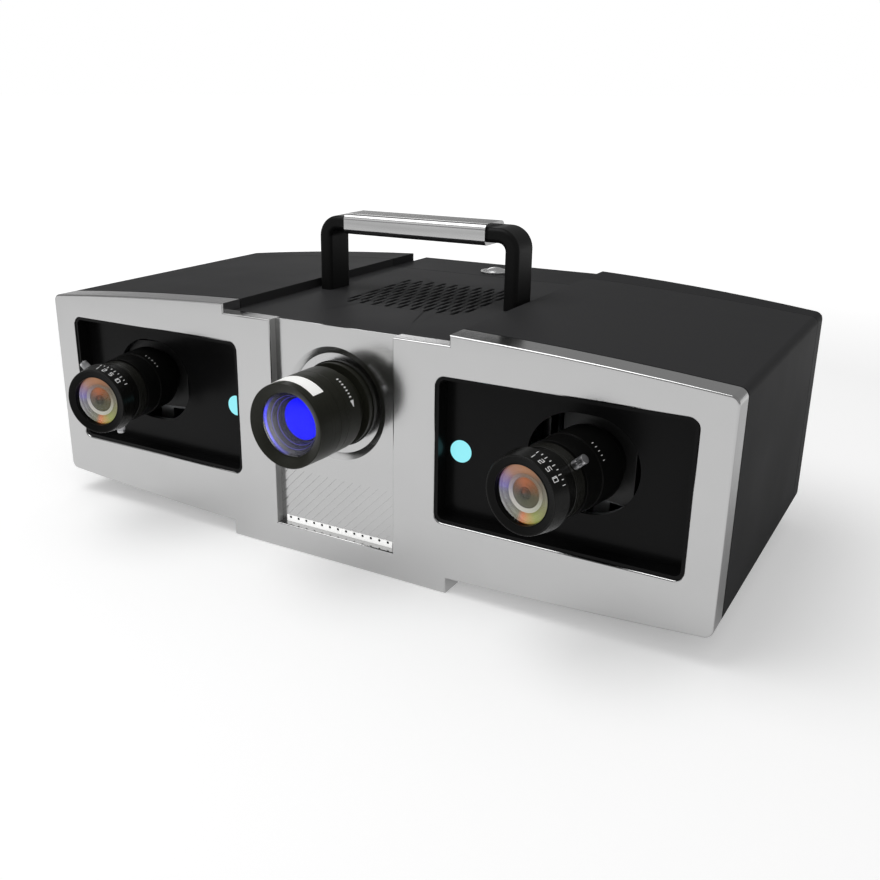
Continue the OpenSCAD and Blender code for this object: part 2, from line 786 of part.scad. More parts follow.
// Camera brackets: a foot on the bench, a web, and a table under the camera
bracket_t = 3;
web_t = 8;
foot_w = 30;
foot_len = 34;
module camera_bracket(s) color("darkgray") difference() {
  translate([s * cam_x, front_y + tray_d, 0]) rotate([0, 0, -s * toe_angle])
    translate([0, cam_setback + cam_len / 2, 0]) {
      foot_z = bench_z + bench_t;
      table_z = lens_z - cam_side / 2 - bracket_t;
      for (z = [foot_z, table_z])
        translate([-foot_w / 2, -foot_len / 2, z]) cube([foot_w, foot_len, bracket_t]);
      translate([-web_t / 2, -foot_len / 2, foot_z]) cube([web_t, foot_len, table_z - foot_z]);
    }
  camera_frame(s) at_camera_screws() {
    translate([0, 0, -bracket_t - over])
      cylinder(h = bracket_t + 2 * over, r = cam_screw_r + hole_gap);
    translate([0, 0, -bracket_t - screw_pocket])
      cylinder(h = screw_pocket, r = cam_head_r + hole_gap);
  }
}
screw_pocket = 9;
cam_head_r = 2.6;
cam_head_h = 2;
module left_camera_bracket() camera_bracket(-1);
module right_camera_bracket() camera_bracket(1);
module camera_screws() color("dimgray")
  for (s = [-1, 1]) camera_frame(s) at_camera_screws()
    translate([0, 0, -bracket_t])
      screw(cam_screw_r, bracket_t + cam_screw_depth - over, cam_head_r, cam_head_h);

// Projector. Its own Z runs forward along the lens, from the plane of the tray backs
module projector_frame() {
  forward(0, tray_d, proj_z) children();
}
proj_body_depth = 18;
proj_body_z = 50;
proj_core_r = 15.6;
proj_nose_len = 4;
proj_throat_r = 13;
flange_back = 2;
flange_front = 6.2;
proj_flange_r = 20.4;
neck_front = 12.3;
neck_r = 16.6;
turn_front = 22.2;
proj_back = tray_d - proj_body_depth;
module projector_bracket() color("darkgray") difference() {
  wall = 3;
  z0 = bench_z + bench_t;
  translate([-foot_w, front_y + bench_front + wall, z0])
    cube([2 * foot_w, bench_d - 2 * wall, proj_body_z - z0]);
  translate([wall - foot_w, front_y, z0 + wall])
    cube([2 * (foot_w - wall), 2 * bench_d, proj_body_z - z0 - 2 * wall]);
}
module projector_body() color("dimgray") difference() {
  translate([-proj_body_w / 2, front_y + proj_body_depth, proj_body_z])
    cube([proj_body_w, proj_body_len, proj_body_h]);
  projector_frame() translate([0, 0, proj_back - proj_nose_len])
    cylinder(h = proj_nose_len + over, r = proj_core_r + run_gap);
}
proj_seat_z = 35;
proj_seat_len = 3.7;
module projector_barrel() color([0.16, 0.16, 0.14]) projector_frame() difference() {
  turned([[proj_back - proj_nose_len, proj_back, proj_core_r],
          [proj_back, flange_back, neck_r],
          [flange_back, flange_front, proj_flange_r],
          [flange_front, neck_front - ring_gap, neck_r],
          [neck_front - ring_gap, proj_seat_z + proj_seat_len, proj_core_r]], proj_throat_r);
  translate([0, 0, proj_seat_z]) cylinder(h = proj_seat_len + over, r = proj_glass_r + run_gap);
}

module projector_focus_ring() color([0.17, 0.17, 0.15])
  projector_frame() turned([[neck_front, turn_front, proj_focus_r]], proj_core_r + run_gap);
band_front = 26.3;
band_r = 18.3;
front_ring_back_r = 18.9;
proj_rim = 0.6;
module projector_front_ring() color([0.17, 0.17, 0.15]) projector_frame() difference() {
  union() {
    translate([0, 0, turn_front + ring_gap])
      cylinder(h = band_front - turn_front, r = band_r);
    translate([0, 0, band_front])
      cylinder(h = proj_reach - band_front, r1 = front_ring_back_r, r2 = proj_r);
  }
  translate([0, 0, turn_front])
    cylinder(h = proj_seat_z + proj_seat_len - turn_front, r = proj_core_r + run_gap);
  translate([0, 0, turn_front]) cylinder(h = proj_reach, r = proj_glass_r);
  translate([0, 0, proj_seat_z + proj_seat_len])
    cylinder(h = proj_reach - proj_seat_z - proj_seat_len + hair,
             r1 = proj_glass_r, r2 = proj_r - proj_rim);
}
proj_glass_edge = 3.4;
proj_glass_cap = 2;
module projector_glass() color("blue") projector_frame()
  translate([0, 0, proj_seat_z]) dome_glass(proj_glass_r, proj_glass_edge, proj_glass_cap);

// Plain white label wrapped round the top of the front ring
label_back = 28.5;
label_len = 5.6;
label_t = 0.15;
label_start = 47;
label_sweep = 83;
function ring_r(z) =
  front_ring_back_r + (proj_r - front_ring_back_r) * (z - band_front) / (proj_reach - band_front);
module projector_label() color("white") projector_frame()
  rotate([0, 0, label_start]) rotate_extrude(angle = label_sweep)
    polygon([[ring_r(label_back), label_back], [ring_r(label_back) + label_t, label_back],
             [ring_r(label_back + label_len) + label_t, label_back + label_len],
             [ring_r(label_back + label_len), label_back + label_len]]);

// Heat sink and fan behind the projector body
sink_base = 4;
fin_count = 11;
fin_t = 1.6;
sink_depth = proj_body_depth + proj_body_len;
fan_depth = sink_depth + sink_len;
fan_z = proj_body_z + proj_body_h / 2;
module heat_sink() color("lightgray")
  translate([-fan_side / 2, front_y + sink_depth, fan_z - fan_side / 2]) {
    cube([fan_side, sink_base, fan_side]);
    for (i = [0 : fin_count - 1])
      translate([i * (fan_side - fin_t) / (fin_count - 1), 0, 0])
        cube([fin_t, sink_len, fan_side]);
  }
// The fan's own Z runs forward, from the rear face of its frame
module fan_place() {
  forward(0, fan_depth + fan_t, fan_z) children();
}
fan_wall = 2;
hub_r = 12;
hub_t = 2.5;
strut_w = 3;
shaft_r = 1.5;
blade_count = 7;
blade_t = 1.2;
blade_pitch = 35;
fan_gap = 1;
fan_bore = fan_side / 2 - fan_wall;
module fan_frame() color([0.12, 0.12, 0.12]) fan_place() difference() {
  union() {
    difference() {
      translate([0, 0, fan_t / 2]) cube([fan_side, fan_side, fan_t], center = true);
      translate([0, 0, -over]) cylinder(h = fan_t + 2 * over, r = fan_bore);
    }
    cylinder(h = hub_t, r = hub_r);
    for (a = [45, 135]) rotate([0, 0, a])
      translate([-fan_side / 2, -strut_w / 2, 0]) cube([fan_side, strut_w, hub_t]);
  }
  translate([0, 0, -over]) cylinder(h = hub_t + 2 * over, r = shaft_r + run_gap);
}
module fan_rotor() color([0.25, 0.25, 0.25]) fan_place() {
  floor_z = hub_t + ring_gap;
  top_z = fan_t - fan_gap;
  cylinder(h = floor_z, r = shaft_r);
  translate([0, 0, floor_z]) cylinder(h = top_z - floor_z, r = hub_r);
  intersection() {
    for (i = [0 : blade_count - 1]) rotate([0, 0, i * 360 / blade_count])
      translate([(hub_r + fan_bore) / 2, 0, (floor_z + top_z) / 2]) rotate([blade_pitch, 0, 0])
        cube([fan_bore - hub_r + fan_gap, blade_t, fan_side], center = true);
    translate([0, 0, floor_z + fan_gap])
      cylinder(h = top_z - floor_z - 2 * fan_gap, r = fan_bore - fan_gap);
  }
}

// Main board on standoffs over the floor of the centre block
board_front = 76;
board_gap = 1;
board_back = body_depth - shell_t - rear_flange_t - board_gap;
standoff_r = 3;
board_screw_r = 1.2;
standoff_inset = 6;
module at_standoffs(z) {
  for (x = [-1, 1], d = [board_front + standoff_inset, board_back - 2 * socket_len])
    translate([x * (board_w / 2 - standoff_inset), front_y + d, z]) children();
}
chip_h = 3;
module main_board() color("darkgreen") difference() {
  union() {
    translate([-board_w / 2, front_y + board_front, board_z])
      cube([board_w, board_back - board_front, board_t]);
    for (c = chip_shares)
      translate([c[0] * board_w - c[2] * board_w / 2,
                 front_y + board_front + c[1] * (board_back - board_front) - c[2] * board_w / 2,
                 board_z + board_t - hair])
        cube([c[2] * board_w, c[2] * board_w, chip_h]);
  }
  at_standoffs(board_z - over) cylinder(h = board_t + 2 * over, r = board_screw_r + hole_gap);
}
// Chips on the board, each [across, along, side] as a share of the board
chip_shares = [[-0.2, 0.28, 0.25], [0.21, 0.23, 0.19], [0, 0.56, 0.28], [0.3, 0.62, 0.13]];
module board_standoffs() color("goldenrod") at_standoffs(shell_t) difference() {
  cylinder(h = board_z - shell_t, r = standoff_r);
  translate([0, 0, shell_t]) cylinder(h = board_z, r = board_screw_r + run_gap);
}
board_head_r = 2.4;
board_head_h = 1.6;
module board_screws() color("dimgray") at_standoffs(board_z + board_t)
  rotate([180, 0, 0]) screw(board_screw_r, board_z / 2, board_head_r, board_head_h);

// Sockets on the board's rear edge, open at the rear
power_bore = 3.2;
socket_bore_len = 10;
data_mouth_w = 8.6;
data_mouth_h = 7.8;
// A socket block on the board, its rear face flush with the rear cover
module socket_block(x, w, h) {
  translate([x - w / 2, front_y + body_depth - socket_len, board_z + board_t])
    cube([w, socket_len, h]);
}
module power_socket() color([0.1, 0.1, 0.1]) difference() {
  socket_block(power_x, power_w, power_h);
  forward(power_x, body_depth, board_z + board_t + power_h / 2)
    translate([0, 0, -over]) cylinder(h = socket_bore_len + over, r = power_bore);
}
module data_socket() color("silver") difference() {
  socket_block(data_x, data_w, data_h);
  translate([data_x - data_mouth_w / 2, front_y + body_depth - socket_bore_len,
             board_z + board_t + (data_h - data_mouth_h) / 2])
    cube([data_mouth_w, socket_bore_len + over, data_mouth_h]);
}

// Power switch in the top of the rear cover
switch_barrel_r = 7.9;
switch_barrel_len = 14;
switch_rim_h = 1;
module switch_place() {
  translate([0, front_y + switch_depth, channel_z]) children();
}
module switch_body() color("silver") switch_place() difference() {
  union() {
    cylinder(h = switch_rim_h, r = switch_r);
    translate([0, 0, -switch_barrel_len])
      cylinder(h = switch_barrel_len + switch_rim_h, r = switch_barrel_r);
  }
  translate([0, 0, -button_skirt - button_travel - ring_gap])
    cylinder(h = switch_barrel_len + button_skirt, r = button_r + run_gap);
}
button_skirt = 6;
module power_button() color("gainsboro") switch_place()
  translate([0, 0, -button_skirt])
    dome_glass(button_r, button_skirt + switch_rim_h / 2, button_dome + switch_rim_h / 2);

// Carrying handle: two bent black legs and an aluminium grip between them
leg_edge = 2.4;
grip_edge = 3;
arm_z = channel_z + grip_gap + grip_h / 2;
bend_out = bend_r + leg_t;
bend_x = leg_x - bend_out;
grip_len = 2 * (bend_x - arm_len);
bend_z = arm_z + leg_t / 2 - bend_out;
tenon_len = 12;
tenon_t = 4.8;
tenon_d = 16;
tenon_gap = 0.1;
leg_screw_depth = 12;
module handle_leg(s) color([0.12, 0.12, 0.12]) difference() {
  translate([0, front_y + handle_depth, 0]) mirror([s < 0 ? 1 : 0, 0, 0]) {
    translate([leg_x - leg_t / 2, 0, channel_z])
      linear_extrude(bend_z - channel_z) round_rect(leg_t, leg_d, leg_edge);
    translate([bend_x, 0, bend_z]) rotate([90, 0, 0]) rotate_extrude(angle = 90)
      translate([bend_r + leg_t / 2, 0]) round_rect(leg_t, leg_d, leg_edge);
    translate([bend_x, 0, arm_z]) rotate([0, -90, 0]) {
      linear_extrude(arm_len) round_rect(leg_t, leg_d, leg_edge);
      linear_extrude(arm_len + tenon_len)
        square([tenon_t, tenon_d], center = true);
    }
  }
  at_leg_screws() cylinder(h = shell_t + leg_screw_depth, r = leg_screw_r + run_gap);
}
module handle_left_leg() handle_leg(-1);
module handle_right_leg() handle_leg(1);
module handle_grip() color("silver")
  translate([grip_len / 2, front_y + handle_depth, arm_z]) rotate([0, -90, 0])
    linear_extrude(grip_len) difference() {
      round_rect(grip_h, grip_d, grip_edge);
      square([tenon_t + 2 * tenon_gap, tenon_d + 2 * tenon_gap], center = true);
    }
leg_head_r = 3.6;
leg_head_h = 2.4;
module handle_screws() color("dimgray")
  at_leg_screws() screw(leg_screw_r, shell_t + leg_screw_depth - over, leg_head_r, leg_head_h);

front_plate();
projector_panel();
light_strip();
projector_bezel();
left_window_tray();
right_window_tray();
left_indicator();
right_indicator();
top_cover();
base_tray();
rear_cover();
rear_screws();
left_rear_bracket();
right_rear_bracket();
tripod_plate();
optical_bench();
bench_posts();
bench_screws();
left_camera_bracket();
right_camera_bracket();
camera_screws();
left_camera_body();
right_camera_body();
left_lens_barrel();
right_lens_barrel();
left_iris_ring();
right_iris_ring();
left_focus_ring();
right_focus_ring();
left_lens_glass();
right_lens_glass();
left_focus_lock();
left_iris_lock();
right_focus_lock();
right_iris_lock();
projector_bracket();
projector_body();
projector_barrel();
projector_focus_ring();
projector_front_ring();
projector_glass();
projector_label();
heat_sink();
fan_frame();
fan_rotor();
main_board();
board_standoffs();
board_screws();
power_socket();
data_socket();
switch_body();
power_button();
handle_left_leg();
handle_right_leg();
handle_grip();
handle_screws();
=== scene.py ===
import math

import bpy
from mathutils import Matrix, Vector
from mathutils.geometry import tessellate_polygon


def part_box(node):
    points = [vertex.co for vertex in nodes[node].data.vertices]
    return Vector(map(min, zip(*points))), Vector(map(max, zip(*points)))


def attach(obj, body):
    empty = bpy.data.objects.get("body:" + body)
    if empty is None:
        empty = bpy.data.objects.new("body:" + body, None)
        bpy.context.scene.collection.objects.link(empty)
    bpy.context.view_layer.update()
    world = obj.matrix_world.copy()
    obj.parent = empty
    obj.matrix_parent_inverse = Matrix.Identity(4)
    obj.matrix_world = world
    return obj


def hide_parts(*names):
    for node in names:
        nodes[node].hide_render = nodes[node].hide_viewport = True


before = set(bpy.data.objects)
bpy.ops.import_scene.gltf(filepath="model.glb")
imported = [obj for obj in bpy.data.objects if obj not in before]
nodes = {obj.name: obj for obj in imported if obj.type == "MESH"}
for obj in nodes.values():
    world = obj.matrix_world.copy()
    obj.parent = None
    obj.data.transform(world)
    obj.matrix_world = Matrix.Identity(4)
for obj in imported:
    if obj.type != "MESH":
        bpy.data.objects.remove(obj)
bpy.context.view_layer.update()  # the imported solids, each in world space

mm = 0.001
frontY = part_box("front_plate")[0].y  # front face of the silver plate

# the camera stands where the photo was taken from: metres, degrees and millimetres of lens
photoView = {
    "place": (0.2583, -0.4506, 0.2218),
    "tilt": 70.77, "turn": 31.57,
    "lens": 40.5, "sensor": 36, "shift": (0.052, -0.006), "nearest": 0.01,
}


def placeCamera(look):
    data = bpy.data.cameras.new("photoCamera")
    data.lens = look["lens"]
    data.sensor_width = look["sensor"]
    data.shift_x, data.shift_y = look["shift"]
    data.clip_start = look["nearest"]
    camera = bpy.data.objects.new("photoCamera", data)
    camera.location = look["place"]
    camera.rotation_euler = (math.radians(look["tilt"]), 0, math.radians(look["turn"]))
    bpy.context.scene.collection.objects.link(camera)
    bpy.context.scene.camera = camera


placeCamera(photoView)
print("camera placed")


# small helpers for material nodes
def addNode(tree, kind, **settings):
    made = tree.nodes.new("ShaderNode" + kind)
    for key, value in settings.items():
        setattr(made, key, value)
    return made


def newMaterial(name):
    material = bpy.data.materials.new(name)
    material.use_nodes = True
    tree = material.node_tree
    return material, tree, tree.nodes["Principled BSDF"]


def setInputs(shader, values):
    for key, value in values.items():
        shader.inputs[key].default_value = value


def surfaceCoords(tree, place=None, stretch=(1, 1, 1)):
    # object coordinates in metres, turned into a lens's own axes where a place is given
    coords = addNode(tree, "TexCoord")
    last = coords.outputs["Object"]
    if place is not None:
        local = addNode(tree, "Mapping", vector_type="TEXTURE")
        local.inputs["Location"].default_value = place.to_translation()
        local.inputs["Rotation"].default_value = place.to_euler("XYZ")
        tree.links.new(last, local.inputs["Vector"])
        last = local.outputs["Vector"]
    if stretch != (1, 1, 1):
        stretched = addNode(tree, "Mapping")
        stretched.inputs["Scale"].default_value = stretch
        tree.links.new(last, stretched.inputs["Vector"])
        last = stretched.outputs["Vector"]
    return last


def noiseFrom(tree, coords, size, detail=2.0, roughness=0.5):
    # size is the width of a speck in metres
    noise = addNode(tree, "TexNoise")
    setInputs(noise, {"Scale": 1 / size, "Detail": detail, "Roughness": roughness})
    tree.links.new(coords, noise.inputs["Vector"])
    return noise.outputs["Fac"]


noiseLow, noiseHigh = 0.3, 0.7  # most of a noise lies between these


def spread(tree, fac, low, high, fromLow=noiseLow, fromHigh=noiseHigh):
    change = addNode(tree, "MapRange")
    setInputs(change, {"From Min": fromLow, "From Max": fromHigh, "To Min": low, "To Max": high})
    tree.links.new(fac, change.inputs["Value"])
    return change.outputs["Result"]


def fillRamp(ramp, stops):
    # stops are (place, colour), from the first to the last
    elements = ramp.color_ramp.elements
    for element, (where, colour) in ((elements[0], stops[0]), (elements[1], stops[-1])):
        element.position, element.color = where, (*colour, 1)
    for where, colour in stops[1:-1]:
        elements.new(where).color = (*colour, 1)


def twoTone(tree, fac, first, second):
    ramp = addNode(tree, "ValToRGB")
    fillRamp(ramp, ((noiseLow, first), (noiseHigh, second)))
    tree.links.new(fac, ramp.inputs["Fac"])
    return ramp.outputs["Color"]


def bumpFrom(tree, shader, fac, height, strength=1.0):
    bump = addNode(tree, "Bump")
    setInputs(bump, {"Strength": strength, "Distance": height})
    tree.links.new(fac, bump.inputs["Height"])
    tree.links.new(bump.outputs["Normal"], shader.inputs["Normal"])


# how far each kind of finish wanders about its own roughness
wander = {"metal": 0.08, "paint": 0.07, "lathe": 0.12}


def roughFrom(tree, shader, fac, rough, kind):
    level = spread(tree, fac, rough * (1 - wander[kind]), rough * (1 + wander[kind]))
    tree.links.new(level, shader.inputs["Roughness"])


def shadesOf(colour, share):
    return [tuple(c * (1 + way * share) for c in colour) for way in (-1, 1)]


def grainedMetal(name, look):
    # bead-blasted, anodised or brushed metal
    material, tree, shader = newMaterial(name)
    coords = surfaceCoords(tree, stretch=look.get("stretch", (1, 1, 1)))
    mottle = noiseFrom(tree, coords, look["mottleSize"], 3)
    colour = twoTone(tree, mottle, *shadesOf(look["colour"], look["mottle"]))
    tree.links.new(colour, shader.inputs["Base Color"])
    roughFrom(tree, shader, mottle, look["roughness"], "metal")
    grain = noiseFrom(tree, coords, look["grainSize"], 2, 0.6)
    bumpFrom(tree, shader, grain, look["grainHeight"], look.get("bump", 0.5))
    setInputs(shader, {"Metallic": look.get("metallic", 1.0)})
    return material


def coatedPaint(name, look):
    # powder coat, satin paint or moulded plastic
    material, tree, shader = newMaterial(name)
    coords = surfaceCoords(tree)
    peel = noiseFrom(tree, coords, look["peelSize"], 3, 0.55)
    patch = noiseFrom(tree, coords, look.get("patchSize", 0.03), 2)
    colour = twoTone(tree, patch, *shadesOf(look["colour"], look["patch"]))
    tree.links.new(colour, shader.inputs["Base Color"])
    roughFrom(tree, shader, patch, look["roughness"], "paint")
    bumpFrom(tree, shader, peel, look["peelHeight"], look.get("bump", 0.4))
    setInputs(shader, {"Specular IOR Level": look.get("shine", 0.4)})
    # a glow is emitted light: painted light on every part that is no lamp
    if "glow" in look:
        setInputs(shader, {"Emission Color": (*look["glowColour"], 1),
                           "Emission Strength": look["glow"]})
    return material


def turnedMetal(name, look, place):
    # anodised lens metal with fine lathe lines round its own axis
    material, tree, shader = newMaterial(name)
    coords = surfaceCoords(tree, place)
    parts = addNode(tree, "SeparateXYZ")
    tree.links.new(coords, parts.inputs["Vector"])
    alongAxis = addNode(tree, "CombineXYZ")
    tree.links.new(parts.outputs["Z"], alongAxis.inputs["Z"])
    grooves = noiseFrom(tree, alongAxis.outputs["Vector"], look["latheSize"], 2, 0.7)
    speck = noiseFrom(tree, coords, look["speckSize"], 2)
    colour = twoTone(tree, speck, *shadesOf(look["colour"], look["mottle"]))
    tree.links.new(colour, shader.inputs["Base Color"])
    roughFrom(tree, shader, grooves, look["roughness"], "lathe")
    bumpFrom(tree, shader, grooves, look["latheHeight"], look.get("bump", 0.5))
    setInputs(shader, {"Metallic": 0.0, "Specular IOR Level": look["shine"]})
    return material


# metals: sizes and heights in metres
satinSilver = grainedMetal("satinSilver", {
    "colour": (0.5, 0.5, 0.5), "roughness": 0.17, "mottle": 0.012, "mottleSize": 0.02,
    "grainSize": 0.00022, "grainHeight": 0.00001})
wallSilver = grainedMetal("wallSilver", {
    "colour": (0.42, 0.42, 0.415), "roughness": 0.5, "mottle": 0.02, "mottleSize": 0.01,
    "grainSize": 0.0002, "grainHeight": 0.000008, "metallic": 0.4})
gripSilver = grainedMetal("gripSilver", {
    "colour": (0.47, 0.47, 0.47), "roughness": 0.14, "mottle": 0.09, "mottleSize": 0.0022,
    "bump": 0.06, "stretch": (0.02, 1, 1), "grainSize": 0.0002, "grainHeight": 0.000012})
steel = grainedMetal("steel", {
    "colour": (0.45, 0.45, 0.46), "roughness": 0.32, "mottle": 0.05, "mottleSize": 0.002,
    "grainSize": 0.00015, "grainHeight": 0.000008})
blackScrew = grainedMetal("blackScrew", {
    "colour": (0.05, 0.05, 0.052), "roughness": 0.36, "mottle": 0.08, "mottleSize": 0.001,
    "grainSize": 0.00015, "grainHeight": 0.000008, "metallic": 0.7})
milledGrey = grainedMetal("milledGrey", {
    "colour": (0.45, 0.46, 0.47), "roughness": 0.36, "mottle": 0.06, "mottleSize": 0.0016,
    "stretch": (0.05, 1, 1), "grainSize": 0.0003, "grainHeight": 0.00002})
brass = grainedMetal("brass", {
    "colour": (0.6, 0.46, 0.2), "roughness": 0.28, "mottle": 0.06, "mottleSize": 0.001,
    "grainSize": 0.00015, "grainHeight": 0.000008})
finAluminium = grainedMetal("finAluminium", {
    "colour": (0.6, 0.6, 0.61), "roughness": 0.34, "mottle": 0.05, "mottleSize": 0.001,
    "stretch": (1, 0.04, 1), "grainSize": 0.0002, "grainHeight": 0.00001})
chrome = grainedMetal("chrome", {
    "colour": (0.72, 0.72, 0.72), "roughness": 0.26, "mottle": 0.02, "mottleSize": 0.002,
    "grainSize": 0.0004, "grainHeight": 0.000003})

# paints and plastics
coverBlack = coatedPaint("coverBlack", {
    "colour": (0.032, 0.032, 0.033), "roughness": 0.55, "patch": 0.05, "patchSize": 0.05,
    "peelSize": 0.0006, "peelHeight": 0.00002, "shine": 0.03})
rearBlack = coatedPaint("rearBlack", {
    "colour": (0.022, 0.022, 0.023), "roughness": 0.5, "patch": 0.06, "patchSize": 0.05,
    "peelSize": 0.0006, "peelHeight": 0.00002, "shine": 0.03})
trayBlack = coatedPaint("trayBlack", {
    "colour": (0.006, 0.006, 0.0062), "roughness": 0.24, "patch": 0.06,
    "peelSize": 0.0005, "peelHeight": 0.000004, "shine": 0.09})
handleBlack = coatedPaint("handleBlack", {
    "colour": (0.008, 0.008, 0.008), "roughness": 0.4, "patch": 0.08, "patchSize": 0.01,
    "peelSize": 0.0005, "peelHeight": 0.000015, "shine": 0.1})
cameraBlack = coatedPaint("cameraBlack", {
    "colour": (0.012, 0.012, 0.012), "roughness": 0.45, "patch": 0.08,
    "peelSize": 0.0004, "peelHeight": 0.00001, "shine": 0.35})
fanPlastic = coatedPaint("fanPlastic", {
    "colour": (0.014, 0.014, 0.015), "roughness": 0.5, "patch": 0.08,
    "peelSize": 0.0008, "peelHeight": 0.00001})
# the strip's white carries a painted glow, and so does the socket's tongue that shares it
stripWhitePaintedGlow = coatedPaint("stripWhitePaintedGlow", {
    "colour": (0.9, 0.9, 0.89), "roughness": 0.4, "patch": 0.02,
    "peelSize": 0.0008, "peelHeight": 0.00002, "glow": 0.55, "glowColour": (1, 1, 0.99)})
# the label's white print carries a painted glow
labelWhitePaintedGlow = coatedPaint("labelWhitePaintedGlow", {
    "colour": (0.86, 0.86, 0.84), "roughness": 0.5, "patch": 0.03, "patchSize": 0.001,
    "peelSize": 0.0002, "peelHeight": 0.00001, "glow": 0.2, "glowColour": (1, 1, 0.98)})
indicatorCyan = coatedPaint("indicatorCyan", {
    "colour": (0.03, 0.09, 0.1), "roughness": 0.25, "patch": 0.02,
    "peelSize": 0.001, "peelHeight": 0.000006, "glow": 1.0, "glowColour": (0.27, 0.8, 0.87)})
# the marks' white print carries a painted glow
markWhitePaintedGlow = coatedPaint("markWhitePaintedGlow", {
    "colour": (0.8, 0.8, 0.8), "roughness": 0.5, "patch": 0.04, "patchSize": 0.0006,
    "peelSize": 0.0002, "peelHeight": 0.000006, "glow": 0.1, "glowColour": (1, 1, 1)})

# the green board, with its tracks as fine bricks
boardLook = {
    "tracks": {"Scale": 90, "Mortar Size": 0.06, "Color1": (0.012, 0.09, 0.035, 1),
               "Color2": (0.016, 0.11, 0.045, 1), "Mortar": (0.035, 0.19, 0.08, 1)},
    "trackHeight": 0.00003, "roughness": 0.35,
}


def circuitBoard(name, look):
    material, tree, shader = newMaterial(name)
    tracks = addNode(tree, "TexBrick")
    setInputs(tracks, look["tracks"])
    tree.links.new(surfaceCoords(tree), tracks.inputs["Vector"])
    tree.links.new(tracks.outputs["Color"], shader.inputs["Base Color"])
    bumpFrom(tree, shader, tracks.outputs["Fac"], look["trackHeight"])
    setInputs(shader, {"Roughness": look["roughness"]})
    return material


boardGreen = circuitBoard("boardGreen", boardLook)
print("finishes made")

# edges of the solids: angles in degrees, corners closer than weld become one
edgeLook = {"cleanAngle": 30, "againAngle": 35, "bevelAngle": 35, "sharpAngle": 35,
            "segments": 2, "weld": 0.004 * mm}


def smoothGroup(name, cleanFirst, limit):
    # a geometry node group: merges split corners, then smooths all but the sharp edges
    group = bpy.data.node_groups.new(name, "GeometryNodeTree")
    for way in ("INPUT", "OUTPUT"):
        group.interface.new_socket("Geometry", in_out=way, socket_type="NodeSocketGeometry")
    start = group.nodes.new("NodeGroupInput")
    end = group.nodes.new("NodeGroupOutput")
    last = start.outputs[0]
    if cleanFirst:
        drop = group.nodes.new("GeometryNodeRemoveAttribute")
        drop.inputs["Name"].default_value = "custom_normal"
        group.links.new(last, drop.inputs["Geometry"])
        merge = group.nodes.new("GeometryNodeMergeByDistance")
        merge.inputs["Distance"].default_value = edgeLook["weld"]
        group.links.new(drop.outputs["Geometry"], merge.inputs["Geometry"])
        last = merge.outputs["Geometry"]
    smooth = group.nodes.new("GeometryNodeSetShadeSmooth")
    smooth.domain = "FACE"
    group.links.new(last, smooth.inputs["Geometry"])
    angle = group.nodes.new("GeometryNodeInputMeshEdgeAngle")
    above = group.nodes.new("FunctionNodeCompare")
    above.operation = "GREATER_THAN"
    above.inputs["B"].default_value = math.radians(limit)
    group.links.new(angle.outputs["Unsigned Angle"], above.inputs["A"])
    sharp = group.nodes.new("GeometryNodeSetShadeSmooth")
    sharp.domain = "EDGE"
    sharp.inputs["Shade Smooth"].default_value = False
    group.links.new(smooth.outputs["Geometry"], sharp.inputs["Geometry"])
    group.links.new(above.outputs["Result"], sharp.inputs["Selection"])
    group.links.new(sharp.outputs["Geometry"], end.inputs[0])
    return group


cleanGroup = smoothGroup("cleanEdges", True, edgeLook["cleanAngle"])
againGroup = smoothGroup("smoothAgain", False, edgeLook["againAngle"])


def weightNormals(piece):
    weight = piece.modifiers.new("weightNormals", "WEIGHTED_NORMAL")
    weight.keep_sharp = True


def softenEdges(piece, width):
    clean = piece.modifiers.new("cleanEdges", "NODES")
    clean.node_group = cleanGroup
    bevel = piece.modifiers.new("roundEdges", "BEVEL")
    bevel.width = width
    bevel.segments = edgeLook["segments"]
    bevel.limit_method = "ANGLE"
    bevel.angle_limit = math.radians(edgeLook["bevelAngle"])
    bevel.use_clamp_overlap = False
    bevel.miter_outer = "MITER_ARC"
    again = piece.modifiers.new("smoothAgain", "NODES")
    again.node_group = againGroup
    weightNormals(piece)


def dress(node, material, edge=None):
    # a solid in its finish, its edges rounded by the given width
    piece = nodes[node]
    piece.data.materials.clear()
    piece.data.materials.append(material)
    if edge:
        softenEdges(piece, edge)


def addMesh(name, points, faces, material, body, place=None):
    mesh = bpy.data.meshes.new(name)
    if place is not None:
        points = [place @ Vector(p) for p in points]
    mesh.from_pydata([tuple(p) for p in points], [], faces)
    mesh.validate()
    mesh.materials.append(material)
    for face in mesh.polygons:
        face.use_smooth = True
    mesh.set_sharp_from_angle(angle=math.radians(edgeLook["sharpAngle"]))
    piece = bpy.data.objects.new(name, mesh)
    bpy.context.scene.collection.objects.link(piece)
    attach(piece, body)
    return piece


def around(radius, angle, height):
    # a point in metres from a radius and a height in millimetres, the angle in radians
    return (radius * math.cos(angle) * mm, radius * math.sin(angle) * mm, height * mm)


def lathe(name, profile, material, body, place, steps=96, ring=False):
    # turns (radius, height) points round the place's own Z; ring closes the profile on itself
    count = len(profile)
    spans = count if ring else count - 1
    merged, index, keep = [], {}, []
    for step in range(steps):
        for radius, height in profile:
            p = around(radius, 2 * math.pi * step / steps, height)
            key = tuple(round(c * 1e7) for c in p)  # points on the axis fall together
            if key not in index:
                index[key] = len(merged)
                merged.append(p)
            keep.append(index[key])
    faces = []
    for step in range(steps):
        here, there = step * count, ((step + 1) % steps) * count
        for k in range(spans):
            n = (k + 1) % count
            corners = []
            for corner in (keep[here + k], keep[there + k], keep[there + n], keep[here + n]):
                if corner not in corners:
                    corners.append(corner)
            if len(corners) > 2:
                faces.append(tuple(corners))
    return addMesh(name, merged, faces, material, body, place)


